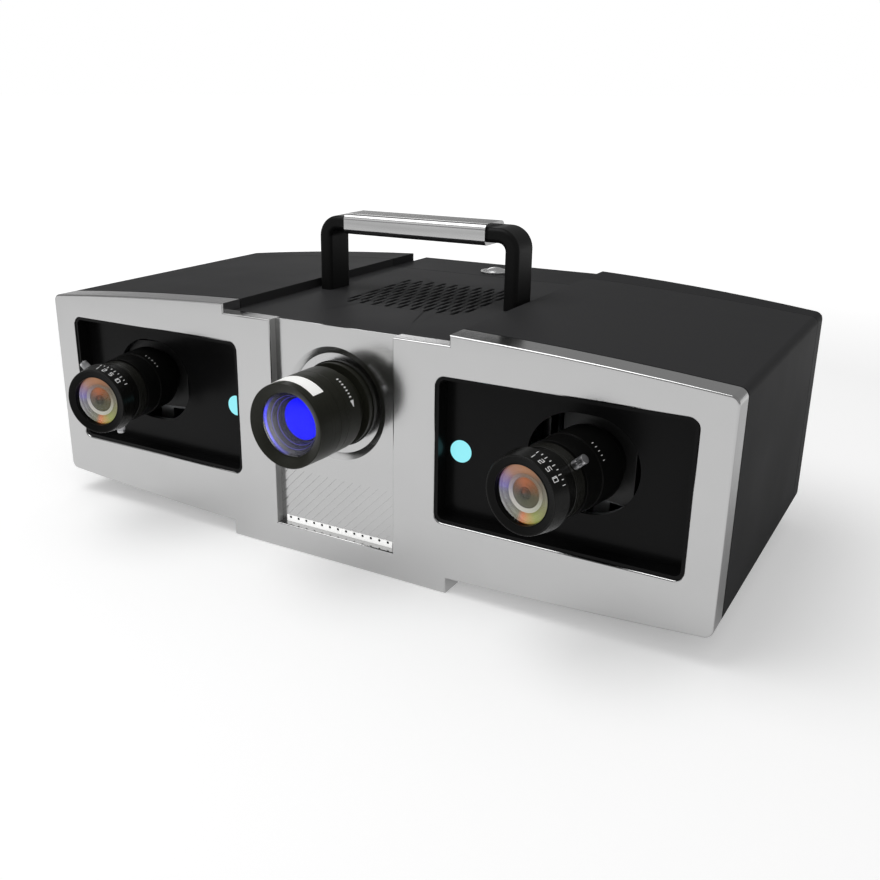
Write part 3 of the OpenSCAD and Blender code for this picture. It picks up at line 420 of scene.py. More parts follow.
def frameAt(x, depth, z, toe=0.0):
    # a lens's own axes: Z forward along the lens, Y up
    return (Matrix.Translation((x * mm, frontY + depth * mm, z * mm))
            @ Matrix.Rotation(math.radians(90), 4, "X")
            @ Matrix.Rotation(math.radians(toe), 4, "Y"))


def capProfile(radius, ball, top, count=14):
    # (radius, height) points of a cap on a sphere of radius ball, from its middle outwards
    return [(radius * k / count, top - ball + math.sqrt(ball ** 2 - (radius * k / count) ** 2))
            for k in range(count + 1)]


def domeProfile(radius, low, high, count=14):
    ball = (radius ** 2 + (high - low) ** 2) / (2 * (high - low))
    return capProfile(radius, ball, high, count)


# the silver plate, with its front edges rounded over
plateLook = {
    "edge": 0.9 * mm, "steps": 4,
    "tongueX": 63.1 * mm, "tongueZ": 118.5 * mm, "tongueDepth": 8 * mm,
    "wallX": 45 * mm,  # the recess's side walls, which are duller, lie inside this
    "straight": 0.002, "flat": 0.001 * mm, "level": 0.01 * mm, "sideways": 0.95,
}


def flatLoops(piece, y):
    # loops of (x, z) points round the flat faces of a solid at depth y
    mesh, turn = piece.data, piece.matrix_world
    points = [turn @ v.co for v in mesh.vertices]
    keys = [(round(p.x * 1e6), round(p.z * 1e6)) for p in points]
    edges = set()
    for face in mesh.polygons:
        if all(abs(points[v].y - y) < plateLook["flat"] for v in face.vertices):
            corners = [keys[v] for v in face.vertices]
            for a, b in zip(corners, corners[1:] + corners[:1]):
                if (b, a) in edges:
                    edges.remove((b, a))
                else:
                    edges.add((a, b))
    following = dict(edges)
    loops = []
    while following:
        loop, here = [], min(following)
        while here in following:
            loop.append(here)
            here = following.pop(here)
        loops.append(straightened([Vector((x * 1e-6, z * 1e-6)) for x, z in loop]))
    return loops


def straightened(loop):
    # drops the points that lie on a straight run
    kept = []
    for k, p in enumerate(loop):
        before = (p - loop[k - 1]).normalized()
        after = (loop[(k + 1) % len(loop)] - p).normalized()
        if abs(before.cross(after)) > plateLook["straight"]:
            kept.append(p)
    return kept


def insetLoop(loop, width):
    moved = []
    for k, p in enumerate(loop):
        before = (p - loop[k - 1]).normalized()
        after = (loop[(k + 1) % len(loop)] - p).normalized()
        first, second = Vector((-before.y, before.x)), Vector((-after.y, after.x))
        moved.append(p + (first + second) * width / (1 + first.dot(second)))
    return moved


def backOf(loop, k, low, high, look):
    # the middle of the top edge is thinner, where the cover's tongue lies
    ends = (loop[k], loop[(k + 1) % len(loop)])
    thin = all(abs(p.x) < look["tongueX"] and abs(p.y - look["tongueZ"]) < look["level"]
               for p in ends)
    return low.y + look["tongueDepth"] if thin else high.y


def roundedPlate(node, material, look):
    low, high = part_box(node)
    points, faces, rims = [], [], []
    for loop in flatLoops(nodes[node], low.y):
        count, rings = len(loop), []
        for k in range(look["steps"] + 1):
            angle = math.pi / 2 * k / look["steps"]
            depth = look["edge"] * (1 - math.cos(angle))
            inner = insetLoop(loop, look["edge"] * (1 - math.sin(angle)))
            rings.append(len(points))
            points += [(p.x, low.y + depth, p.y) for p in inner]
        rims.append((rings[0], count))
        for a, b in zip(rings, rings[1:]):
            faces += [(a + k, b + k, b + (k + 1) % count, a + (k + 1) % count)
                      for k in range(count)]
        last = rings[-1]
        for k in range(count):
            n = (k + 1) % count
            back, start = backOf(loop, k, low, high, look), len(points)
            points += [(loop[k].x, back, loop[k].y), (loop[n].x, back, loop[n].y)]
            faces.append((last + k, start, start + 1, last + n))
    front = [[Vector((points[a + k][0], points[a + k][2], 0)) for k in range(count)]
             for a, count in rims]
    index = [a + k for a, count in rims for k in range(count)]
    for corners in tessellate_polygon(front):
        a, b, c = (index[k] for k in corners)
        ab = Vector(points[b]) - Vector(points[a])
        ac = Vector(points[c]) - Vector(points[a])
        faces.append((a, b, c) if ab.cross(ac).y < 0 else (a, c, b))
    made = addMesh(node + "Rounded", points, faces, material, "case")
    made.data.materials.append(wallSilver)
    for face in made.data.polygons:
        sideways = abs(face.normal.x) > look["sideways"]
        if sideways and abs(face.center.x) < look["wallX"]:
            face.material_index = 1
    weightNormals(made)
    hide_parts(node)


roundedPlate("front_plate", satinSilver, plateLook)

# dark lamp heads in the strip's small holes
dotLook = {"count": 13, "pitch": 4.85 * mm, "height": 0.71, "radius": 0.68 * mm,
           "dome": 0.1 * mm, "proud": 0.02 * mm, "sides": 16}


def buildStripDots(look):
    low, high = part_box("light_strip")
    middle, sides = (low.x + high.x) / 2, look["sides"]
    z = low.z + look["height"] * (high.z - low.z)
    y = low.y - look["proud"]
    points, faces = [], []
    for k in range(look["count"]):
        x = middle + (k - (look["count"] - 1) / 2) * look["pitch"]
        start = len(points)
        points.append((x, y - look["dome"], z))
        for step in range(sides):
            angle = 2 * math.pi * step / sides
            across, up = look["radius"] * math.cos(angle), look["radius"] * math.sin(angle)
            points.append((x + across, y, z + up))
            faces.append((start, start + 1 + step, start + 1 + (step + 1) % sides))
    addMesh("stripDots", points, faces, fanPlastic, "case")


buildStripDots(dotLook)

# the other solids keep their shapes: finish, then the width of the rounded edges
finishOf = {
    "projector_panel": (satinSilver,), "projector_bezel": (satinSilver,),
    "light_strip": (stripWhitePaintedGlow,), "top_cover": (coverBlack, 0.3 * mm),
    "base_tray": (rearBlack, 0.3 * mm), "rear_cover": (rearBlack, 0.3 * mm),
    "rear_screws": (blackScrew,), "handle_screws": (steel,), "bench_screws": (steel,),
    "camera_screws": (steel,), "board_screws": (steel,), "tripod_plate": (steel,),
    "optical_bench": (milledGrey,), "bench_posts": (brass,), "board_standoffs": (brass,),
    "main_board": (boardGreen,), "projector_bracket": (milledGrey,),
    "projector_body": (cameraBlack, 0.4 * mm), "heat_sink": (finAluminium,),
    "fan_frame": (fanPlastic,), "fan_rotor": (fanPlastic,), "power_socket": (cameraBlack,),
    "data_socket": (steel,), "switch_body": (chrome, 0.2 * mm),
    "power_button": (chrome, 0.15 * mm), "handle_left_leg": (handleBlack,),
    "handle_right_leg": (handleBlack,), "handle_grip": (gripSilver,),
}
finishOfPair = {
    "_window_tray": (trayBlack,), "_indicator": (indicatorCyan,), "_rear_bracket": (milledGrey,),
    "_camera_bracket": (milledGrey,), "_camera_body": (cameraBlack, 0.2 * mm),
    "_focus_lock": (steel, 0.12 * mm), "_iris_lock": (steel, 0.12 * mm),
}
for node, finish in finishOf.items():
    dress(node, *finish)
for ending, finish in finishOfPair.items():
    for side in ("left", "right"):
        dress(side + ending, *finish)
print("solids dressed")

# glass, and glowing coloured bands that paint the reflections of coated lenses
paintedBandLook = {"waverSize": 0.006, "waver": 0.04, "base": (0.01, 0.01, 0.012, 1),
            "roughness": 0.25, "shine": 0.12}
filmLook = {"size": 0.01, "roughest": 0.03}


def paintedLightBands(name, place, bands, glow, paintedShading=None):
    # painted reflections as glowing bands that run round the lens's own axis; painted shade and
    # highlight go from the middle outwards
    material, tree, shader = newMaterial(name)
    coords = surfaceCoords(tree, place)
    turn = addNode(tree, "TexGradient", gradient_type="RADIAL")
    tree.links.new(coords, turn.inputs["Vector"])
    shifted = addNode(tree, "Math", operation="MULTIPLY_ADD")
    tree.links.new(noiseFrom(tree, coords, paintedBandLook["waverSize"], 2), shifted.inputs[0])
    shifted.inputs[1].default_value = paintedBandLook["waver"]
    tree.links.new(turn.outputs["Fac"], shifted.inputs[2])
    ramp = addNode(tree, "ValToRGB")
    fillRamp(ramp, bands)
    tree.links.new(shifted.outputs["Value"], ramp.inputs["Fac"])
    out = ramp.outputs["Color"]
    if paintedShading:
        far = addNode(tree, "SeparateXYZ")
        tree.links.new(coords, far.inputs["Vector"])
        flat = addNode(tree, "CombineXYZ")
        tree.links.new(far.outputs["X"], flat.inputs["X"])
        tree.links.new(far.outputs["Y"], flat.inputs["Y"])
        length = addNode(tree, "VectorMath", operation="LENGTH")
        tree.links.new(flat.outputs["Vector"], length.inputs[0])
        scaled = spread(tree, length.outputs["Value"], 0, 1, 0, paintedShading["reach"] * mm)
        shade = addNode(tree, "ValToRGB")
        fillRamp(shade, [(where, (level,) * 3) for where, level in paintedShading["levels"]])
        tree.links.new(scaled, shade.inputs["Fac"])
        mixed = addNode(tree, "Mix", data_type="RGBA", blend_type="MULTIPLY")
        mixed.inputs["Factor"].default_value = 1
        tree.links.new(out, mixed.inputs["A"])
        tree.links.new(shade.outputs["Color"], mixed.inputs["B"])
        out = mixed.outputs["Result"]
    tree.links.new(out, shader.inputs["Emission Color"])
    setInputs(shader, {"Base Color": paintedBandLook["base"], "Roughness": paintedBandLook["roughness"],
                       "Emission Strength": glow, "Specular IOR Level": paintedBandLook["shine"]})
    return material


def clearGlass(name, tint, index):
    material, tree, shader = newMaterial(name)
    film = noiseFrom(tree, surfaceCoords(tree), filmLook["size"], 2)
    tree.links.new(spread(tree, film, 0.0, filmLook["roughest"]), shader.inputs["Roughness"])
    setInputs(shader, {"Base Color": (*tint, 1), "Transmission Weight": 1.0, "IOR": index})
    return material


# scale marks: angles in degrees, heights and radii in millimetres
marksLook = {
    "lift": 0.04, "cutEvery": 2,
    "ringFront": 48.6, "ringBack": 40.4, "backRadius": 17.5, "frontRadius": 16.3,
    "middle": {"left": 60, "right": 52},
    "ticks": 9, "tickFirst": 28, "tickStep": 7, "tickFrom": 1.4, "tickTo": (2.8, 2.2),
    "numbers": (("1", 29), ("2", 15.5), ("5", 1.5), ("10", -11)),
    "numberHeight": 6.3, "numberRadius": 17, "numberSize": 0.75, "width": 0.28,
    "barrelTicks": 5, "barrelFirst": 6, "barrelFrom": 12.2, "barrelTo": 13.2,
    "barrelRadius": 16.9, "barrelWidth": 0.25,
}
# strokes of the numbers, drawn on a field of 2 by 3, and how far the next one stands
strokes = {
    "0": [(0, 0, 2, 0), (2, 0, 2, 3), (2, 3, 0, 3), (0, 3, 0, 0)],
    "1": [(1, 0, 1, 3)],
    "2": [(0, 3, 2, 3), (2, 3, 2, 1.5), (2, 1.5, 0, 1.5), (0, 1.5, 0, 0), (0, 0, 2, 0)],
    "5": [(2, 3, 0, 3), (0, 3, 0, 1.5), (0, 1.5, 2, 1.5), (2, 1.5, 2, 0), (2, 0, 0, 0)],
}
advance = {"0": 2.9, "1": 1.6, "2": 2.9, "5": 2.9}


def ringMarks(name, place, body, radiusAt, lines, width):
    # flat strokes (angle in degrees, height, angle, height) laid on a ring's surface
    points, faces = [], []
    for a0, z0, a1, z1 in lines:
        r = radiusAt((z0 + z1) / 2)
        dx, dz = math.radians(a1 - a0) * r, z1 - z0
        length = math.hypot(dx, dz)
        ox, oz = -dz / length * width / 2, dx / length * width / 2
        ex, ez = dx / length * width / 2, dz / length * width / 2
        cuts = max(1, int(abs(a1 - a0) / marksLook["cutEvery"]))
        first = len(points)
        for cut in range(cuts + 1):
            t = cut / cuts
            along = -1 if t == 0 else (1 if t == 1 else 0)
            for way in (-1, 1):
                x = t * dx + way * ox + along * ex
                z = z0 + t * dz + way * oz + along * ez
                points.append(around(radiusAt(z) + marksLook["lift"],
                                     math.radians(a0) + x / r, z))
        for cut in range(cuts):
            k = first + cut * 2
            faces.append((k, k + 1, k + 3, k + 2))
    addMesh(name, points, faces, markWhitePaintedGlow, body, place)


def numberLines(text, start, z, radius, size):
    # digits that read from the side, upright along the ring
    lines, cursor = [], 0.0
    for letter in text:
        for x0, y0, x1, y1 in strokes[letter]:
            a0 = start - math.degrees((cursor + x0 * size) / radius)
            a1 = start - math.degrees((cursor + x1 * size) / radius)
            lines.append((a0, z - y0 * size, a1, z - y1 * size))
        cursor += size * advance[letter]
    return lines


def buildScales(side, place):
    look = marksLook
    back, front, middle = look["ringBack"], look["ringFront"], look["middle"][side]

    def wideRadius(z):
        share = (z - back) / (front - back)
        return look["backRadius"] + (look["frontRadius"] - look["backRadius"]) * share

    lines = []
    for k in range(look["ticks"]):
        angle = middle + look["tickFirst"] - look["tickStep"] * k
        lines.append((angle, back + look["tickFrom"], angle, back + look["tickTo"][k % 2]))
    for text, offset in look["numbers"]:
        lines += numberLines(text, middle + offset, back + look["numberHeight"],
                             look["numberRadius"], look["numberSize"])
    ringMarks(side + "ScaleMarks", place, side + "_focus_ring", wideRadius, lines, look["width"])
    first = middle + look["barrelFirst"]
    angles = [first - look["tickStep"] * k for k in range(look["barrelTicks"])]
    ringMarks(side + "BarrelMarks", place, "case", lambda z: look["barrelRadius"],
              [(angle, look["barrelFrom"], angle, look["barrelTo"]) for angle in angles],
              look["barrelWidth"])


# a camera lens: sizes in millimetres, profiles of (radius, height) forward from its depth,
# which is counted from the front of the plate
# painted reflections on the heart lens and the pupil
heartBands = [
    (0.0, (0.09, 0.04, 0.02)), (0.12, (0.045, 0.045, 0.02)), (0.3, (0.055, 0.055, 0.02)),
    (0.5, (0.07, 0.06, 0.025)), (0.66, (0.2, 0.07, 0.02)), (0.8, (0.36, 0.1, 0.03)),
    (0.92, (0.2, 0.07, 0.03)), (1.0, (0.09, 0.04, 0.02))]
lensLook = {
    "x": 124.9308, "z": 74.6, "toe": 11.0, "depth": 9.0,
    "metals": {
        "Barrel": {"colour": (0.004, 0.004, 0.0038), "roughness": 0.3, "mottle": 0.1,
                   "speckSize": 0.0012, "latheSize": 0.00025, "latheHeight": 0.000005,
                   "shine": 0.08},
        "Ring": {"colour": (0.005, 0.005, 0.0045), "roughness": 0.26, "mottle": 0.1,
                 "speckSize": 0.0012, "latheSize": 0.0003, "latheHeight": 0.000006,
                 "shine": 0.14},
        "Waist": {"colour": (0.012, 0.012, 0.01), "roughness": 0.26, "mottle": 0.08,
                  "speckSize": 0.0012, "latheSize": 0.0003, "latheHeight": 0.000006,
                  "shine": 0.35},
    },
    "metalOf": {"_lens_barrel": ("Barrel", 0.15 * mm), "_focus_ring": ("Ring", 0.2 * mm),
                "_iris_ring": ("Waist", 0.15 * mm)},
    "glass": {"radius": 12.3, "edge": 46.8, "top": 48.4, "thickness": 0.45, "play": 0.02,
              "tint": (1, 1, 1), "index": 1.22},
    "bevel": [(15.6, 48.55), (12.8, 47.82), (12.65, 48.0), (12.4, 48.0), (12.32, 46.2)],
    # shells behind the glass, glowing with painted reflections: bands run round the axis, painted
    # shade and highlight go outwards
    "paintedLights": {
        "PaintedReflectionBowl": {
            "material": "BowlPaintedReflection", "glow": 1.0,
            "profile": [(12.3, 46.3), (11.7, 45.95), (10.9, 45.6), (10.0, 45.3), (9.0, 45.1),
                        (8.0, 45.0)],
            "paintedShading": {"reach": 13, "levels": [(0.0, 1.0), (0.62, 0.75), (0.74, 1.05),
                                                (0.9, 1.0), (0.965, 0.55), (1.0, 0.2)]},
            "bands": [
                (0.0, (0.08, 0.05, 0.28)), (0.05, (0.035, 0.03, 0.07)),
                (0.13, (0.035, 0.035, 0.025)), (0.22, (0.1, 0.1, 0.045)),
                (0.26, (0.5, 0.13, 0.03)), (0.3, (0.4, 0.24, 0.06)), (0.36, (0.24, 0.27, 0.07)),
                (0.44, (0.2, 0.2, 0.09)), (0.53, (0.17, 0.16, 0.12)), (0.64, (0.12, 0.1, 0.075)),
                (0.71, (0.26, 0.13, 0.07)), (0.78, (0.34, 0.17, 0.09)), (0.88, (0.3, 0.15, 0.1)),
                (0.95, (0.16, 0.09, 0.2)), (1.0, (0.08, 0.05, 0.28))]},
        "CreamRing": {
            "material": "RingPaintedReflection", "glow": 0.8,
            "profile": [(8.1, 44.9), (7.9, 45.35), (7.45, 45.5), (6.95, 45.35), (6.6, 45.0),
                        (6.3, 44.7)],
            "bands": [
                (0.0, (0.3, 0.27, 0.33)), (0.12, (0.5, 0.48, 0.44)), (0.3, (0.55, 0.54, 0.46)),
                (0.45, (0.42, 0.42, 0.34)), (0.6, (0.2, 0.16, 0.11)), (0.8, (0.22, 0.14, 0.1)),
                (0.92, (0.26, 0.2, 0.22)), (1.0, (0.3, 0.27, 0.33))]},
        "HeartLens": {
            "material": "HeartPaintedReflection", "glow": 1.0,
            "profile": domeProfile(6.4, 44.3, 45.3, 12), "bands": heartBands,
            "paintedShading": {"reach": 6.4, "levels": [(0.0, 0.6), (0.3, 0.5), (0.44, 0.5), (0.46, 1.2),
                                                 (0.5, 0.75), (0.8, 1.0), (1.0, 0.7)]}},
        "Pupil": {
            "material": "PupilPaintedReflection", "glow": 0.35, "bands": heartBands,
            "profile": [(0, 46.15), (0.6, 46.08), (1.15, 45.88), (1.6, 45.58), (1.85, 45.25),
                        (2.0, 45.25), (2.15, 45.42), (2.4, 45.42), (2.55, 45.1)]},
    },
}
lensGlass = clearGlass("lensGlass", lensLook["glass"]["tint"], lensLook["glass"]["index"])


def buildLens(side, sign):
    look = lensLook
    place = frameAt(sign * look["x"], look["depth"], look["z"], -sign * look["toe"])
    metals = {name: turnedMetal(side + name + "Metal", metal, place)
              for name, metal in look["metals"].items()}
    for ending, (name, edge) in look["metalOf"].items():
        dress(side + ending, metals[name], edge)

    glass = look["glass"]
    outer = domeProfile(glass["radius"], glass["edge"], glass["top"])
    inner = domeProfile(glass["radius"] - glass["play"], glass["edge"] - glass["thickness"],
                        glass["top"] - glass["thickness"])
    made = lathe(side + "FrontGlass", outer + inner[::-1], lensGlass, "case",
                 place)
    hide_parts(side + "_lens_glass")
    lathe(side + "GlassBevel", look["bevel"], metals["Barrel"], side + "_focus_ring",
          place)

    # each shell glows with its painted reflections
    for name, paintedPart in look["paintedLights"].items():
        paintedMaterial = paintedLightBands(side + paintedPart["material"], place, paintedPart["bands"], paintedPart["glow"],
                            paintedPart.get("paintedShading"))
        lathe(side + name, paintedPart["profile"], paintedMaterial, "case", place)
    buildScales(side, place)


buildLens("left", -1)
buildLens("right", 1)
print("camera lenses built")

# the projector lens: sizes in millimetres, angles in degrees, heights forward from its depth
# glow colours of the painted reflections and shade in the tube, and of the blue disc's painted
# glow
paintedWallGlow, paintedShadeColour, blueColour = (0.006, 0.006, 0.009), (0.003, 0.003, 0.01), (0.0, 0.0, 1.0)
projectorLook = {
    "z": 80.9, "depth": 9.0,
    "metal": {"colour": (0.017, 0.0175, 0.0125), "roughness": 0.3, "mottle": 0.08,
              "speckSize": 0.0012, "latheSize": 0.0004, "latheHeight": 0.000006,
              "shine": 0.17},
    "barrelEdge": 0.15 * mm,
    "radius": 20.4, "rimRadius": 19.8, "rimWall": 0.6, "bore": 15.8, "edge": 0.3,
    "ringBack": 12.8, "ringFront": 23.1,
    "seam": 28.95, "seamWidth": 0.22, "seamDepth": 0.25,
    "rim": 43.8, "opening": 41.0, "openingRadius": 14.95, "seatFront": 39.0,
    "glassRadius": 14.85, "glassTop": 42.8, "glassBall": 56.5, "glassThickness": 0.5,
    "glassTint": (0.92, 0.92, 1), "glassIndex": 1.2,
    # what lies behind the glass: name, painted light and profile
    "tube": (
        ("tubeChamfer", "chamfer", ((14.8, 40.7), (14.1, 39.6))),
        ("tubeStepOne", "wall", ((14.1, 39.6), (13.5, 37.9), (12.8, 37.6))),
        ("tubeLineOne", "line", ((12.8, 37.6), (12.5, 37.3))),
        ("tubeStepTwo", "wall", ((12.5, 37.3), (12.1, 34.9), (11.5, 34.6))),
        ("tubeLineTwo", "line", ((11.5, 34.6), (11.2, 34.3))),
        ("tubeStepThree", "wall", ((11.2, 34.3), (10.6, 31.3), (9.95, 30.9))),
        ("blueDisc", "disc", ((0, 31.4), (4.975, 31.28), (9.95, 30.9)))),
    "paintedLightGlow": 1.0,
    # walls, lines and chamfer glow with painted reflections and shade; the blue disc glows with
    # painted blue light
    "paintedLights": {
        "wall": {"material": "tubeWallPaintedLight", "slot": "projector_olive",
                 "bands": [(0.0, paintedWallGlow), (0.25, paintedShadeColour), (0.5, paintedWallGlow),
                           (0.75, paintedShadeColour), (1.0, paintedWallGlow)]},
        "line": {"material": "tubeLinePaintedReflection", "slot": "blue_glass",
                 "bands": [(0.0, (0.05, 0.035, 0.32)), (0.2, (0.05, 0.04, 0.3)),
                           (0.5, (0.03, 0.03, 0.09)), (0.75, (0.04, 0.035, 0.2)),
                           (1.0, (0.05, 0.035, 0.32))]},
        "chamfer": {"material": "chamferPaintedReflection", "slot": "blue_glass",
                    "bands": [(0.0, blueColour), (0.12, blueColour), (0.2, (0.01, 0.01, 0.4)),
                              (0.26, paintedWallGlow), (0.86, paintedWallGlow), (0.93, (0.01, 0.01, 0.3)),
                              (0.97, blueColour), (1.0, blueColour)]},
        "disc": {"material": "discPaintedGlow", "slot": "blue_glass",
                 "bands": [(0.0, blueColour), (1.0, blueColour)]},
    },
    "labelBack": 32.3, "labelFront": 39.7, "labelFrom": 49.2, "labelTo": 131.0,
    "labelLift": 0.12, "labelSteps": 40,
    "ticks": 7, "tickFirst": 57.6, "tickStep": 4.7, "tickBack": 17.7, "tickFront": (18.7, 18.5),
    "tickWidth": 0.6,
    "arrowStrokes": 12, "arrowFirst": 24.4, "arrowStep": 0.72, "arrowHalf": 1.1,
    "arrowMiddle": 18.1, "arrowWidth": 0.28,
}


def outerRadius(z):
    # outside of the lens: straight as far as the seam, then narrower towards the rim
    look = projectorLook
    share = max(0.0, (z - look["seam"]) / (look["rim"] - look["seam"]))
    return look["radius"] + (look["rimRadius"] - look["radius"]) * share


def buildProjectorRings(place, metal):
    look = projectorLook
    r, bore, edge = look["radius"], look["bore"], look["edge"]
    back, front, gap = look["ringBack"], look["ringFront"], look["seamWidth"]
    profile = [(bore, back), (r - edge, back), (r, back + edge), (r, front - edge / 2),
               (r - edge / 2, front), (bore, front)]
    turning = lathe("turningRing", profile, metal, "projector_focus_ring",
                    place, ring=True)
    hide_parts("projector_focus_ring")
    start, seam, rim = front + gap / 2, look["seam"], look["rim"]
    profile = [(bore, start), (r - edge / 2, start), (r, start + edge / 2), (r, seam - gap / 2),
               (r - look["seamDepth"], seam),
               (outerRadius(seam + gap / 2), seam + gap / 2),
               (outerRadius(rim - edge), rim - edge), (outerRadius(rim) - edge, rim),
               (look["rimRadius"] - look["rimWall"], rim),
               (look["openingRadius"], look["opening"]),
               (look["openingRadius"], look["seatFront"]), (bore, look["seatFront"])]
    still = lathe("frontRing", profile, metal, "case", place, ring=True)
    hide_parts("projector_front_ring")


def buildLabel(place):
    look = projectorLook
    low, high, lift = look["labelBack"], look["labelFront"], look["labelLift"]
    sweep, count = look["labelTo"] - look["labelFrom"], look["labelSteps"]
    points, faces = [], []
    for k in range(count + 1):
        angle = math.radians(look["labelFrom"] + sweep * k / count)
        for z, out in ((low, 0), (low, lift), (high, lift), (high, 0)):
            points.append(around(outerRadius(z) + out, angle, z))
    for k in range(count):
        a, b = 4 * k, 4 * k + 4
        faces += [(a + i, a + i + 1, b + i + 1, b + i) for i in range(3)]
    faces += [(3, 2, 1, 0), tuple(4 * count + i for i in range(4))]
    label = addMesh("wrappedLabel", points, faces, labelWhitePaintedGlow, "case", place)
    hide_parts("projector_label")


def buildTube(place):
    look = projectorLook
    paintedMaterials = {kind: paintedLightBands(paintedPart["material"], place, paintedPart["bands"], look["paintedLightGlow"])
              for kind, paintedPart in look["paintedLights"].items()}
    for name, kind, profile in look["tube"]:
        lathe(name, profile, paintedMaterials[kind], "case", place)


def buildProjectorMarks(place):
    look = projectorLook
    lines = []
    for k in range(look["ticks"]):
        angle = look["tickFirst"] - look["tickStep"] * k
        lines.append((angle, look["tickBack"], angle, look["tickFront"][k % 2]))
    ringMarks("focusMarks", place, "projector_focus_ring", outerRadius, lines,
              look["tickWidth"])
    arrow = []
    for k in range(look["arrowStrokes"]):  # a small filled arrow head, its tip below
        half = look["arrowHalf"] * (1 - k / look["arrowStrokes"])
        angle, middle = look["arrowFirst"] - look["arrowStep"] * k, look["arrowMiddle"]
        arrow.append((angle, middle - half, angle, middle + half))
    ringMarks("focusArrow", place, "projector_focus_ring", outerRadius, arrow,
              look["arrowWidth"])


def buildProjector():
    look = projectorLook
    place = frameAt(0, look["depth"], look["z"])
    olive = turnedMetal("oliveMetal", look["metal"], place)
    dress("projector_barrel", olive, look["barrelEdge"])
    buildProjectorRings(place, olive)
    buildLabel(place)
    outer = capProfile(look["glassRadius"], look["glassBall"], look["glassTop"])
    inner = [(x, z - look["glassThickness"]) for x, z in outer]
    clear = clearGlass("projectorGlass", look["glassTint"], look["glassIndex"])
    glass = lathe("projectorFrontGlass", outer + inner[::-1], clear, "case",
                  place)
    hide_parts("projector_glass")
    buildTube(place)
    buildProjectorMarks(place)


buildProjector()
print("projector lens built")

# pins inside the rear sockets; the pin's profile is in millimetres
socketLook = {
    "pin": [(0, 7.2), (0.7, 7.0), (1.0, 6.5), (1.0, 0)], "pinDepth": 9.5 * mm, "pinSteps": 32,
    "tongueHalf": 2.9 * mm, "tongueThick": 0.9 * mm,
    "tongueBack": 9.6 * mm, "tongueFront": 1.6 * mm,
    "contacts": 4, "contactPitch": 1.35 * mm, "contactHalf": 0.35 * mm,
    "contactLift": 0.06 * mm, "contactFromBack": 1 * mm, "contactFromFront": 0.6 * mm,
}


def buildSocketPins(look):
    low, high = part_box("power_socket")
    middle = (low + high) / 2
    pin = (Matrix.Translation((middle.x, high.y - look["pinDepth"], middle.z))
           @ Matrix.Rotation(math.radians(-90), 4, "X"))
    lathe("powerPin", look["pin"], brass, "case", pin, look["pinSteps"])

    low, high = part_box("data_socket")
    middle = (low + high) / 2
    y0, y1 = high.y - look["tongueBack"], high.y - look["tongueFront"]
    w, t = look["tongueHalf"], look["tongueThick"]
    tongue = [(middle.x + sx * w, y, middle.z + sz * t)
              for y in (y0, y1) for sz in (-1, 1) for sx in (-1, 1)]
    block = [(0, 1, 3, 2), (4, 6, 7, 5), (0, 4, 5, 1), (2, 3, 7, 6), (0, 2, 6, 4), (1, 5, 7, 3)]
    addMesh("dataTongue", tongue, block, stripWhitePaintedGlow, "case")
    points, faces = [], []
    back, front = y0 + look["contactFromBack"], y1 - look["contactFromFront"]
    half = look["contactHalf"]
    for k in range(look["contacts"]):
        for sz in (-1, 1):
            x = middle.x + (k - (look["contacts"] - 1) / 2) * look["contactPitch"]
            z = middle.z + sz * (t + look["contactLift"])
            n = len(points)
            points += [(x - half, back, z), (x + half, back, z),
                       (x + half, front, z), (x - half, front, z)]
            faces.append((n, n + 1, n + 2, n + 3))
    addMesh("dataContacts", points, faces, brass, "case")


buildSocketPins(socketLook)
print("sockets fitted")

# floor, world and lamps: metres, watts, and shares of full white
studio = {
    "floorHalf": 30, "floorColour": 0.8, "floorMottle": 0.4, "floorDarkest": 0.995,
    "floorRoughness": 0.9, "floorGlow": 0.34, "farGlow": 0.66, "whiteFrom": 0.45, "whiteTo": 0.95,
    # what shiny parts see of the floor: painted shade, with less glow near the scanner on the
    # side behind it
    "mirrorFrom": 0.18, "mirrorTo": 0.28, "mirrorGlow": 0.37, "paintedShadeCentre": (0.22, 0.15, 0.0),
    "skyLow": 0.7, "skyHigh": 0.3, "skyFrom": 0.02, "skyTo": 0.07, "fill": 0.45,
    # soft windows: direction, brightness, angles of the bright middle and the faded edge
    "windows": (((-0.565, -0.726, 0.366), 1.1, 9, 18), ((-0.53, 0.8, 0.33), 2.4, 4, 8)),
    # lamps: place, width and power, each turned to the aim
    "aim": (0, 0, 0.07),
    "lamps": {"keyLamp": ((-0.3, -0.25, 1.05), 0.9, 6.0),
              "sideLamp": ((0.9, -0.5, 0.5), 0.6, 0.15)},
}


def mathNode(tree, operation, first, second):
    made = addNode(tree, "Math", operation=operation)
    tree.links.new(first, made.inputs[0])
    tree.links.new(second, made.inputs[1])
    return made.outputs[0]


def mixNode(tree, factor):
    made = addNode(tree, "Mix", data_type="FLOAT")
    tree.links.new(factor, made.inputs["Factor"])
    return made


def showsWhite(tree):
    # 1 for the rays that see the backdrop: camera, glossy and transmission
    path = addNode(tree, "LightPath").outputs
    shiny = mathNode(tree, "MAXIMUM", path["Is Camera Ray"], path["Is Glossy Ray"])
    return mathNode(tree, "MAXIMUM", shiny, path["Is Transmission Ray"])


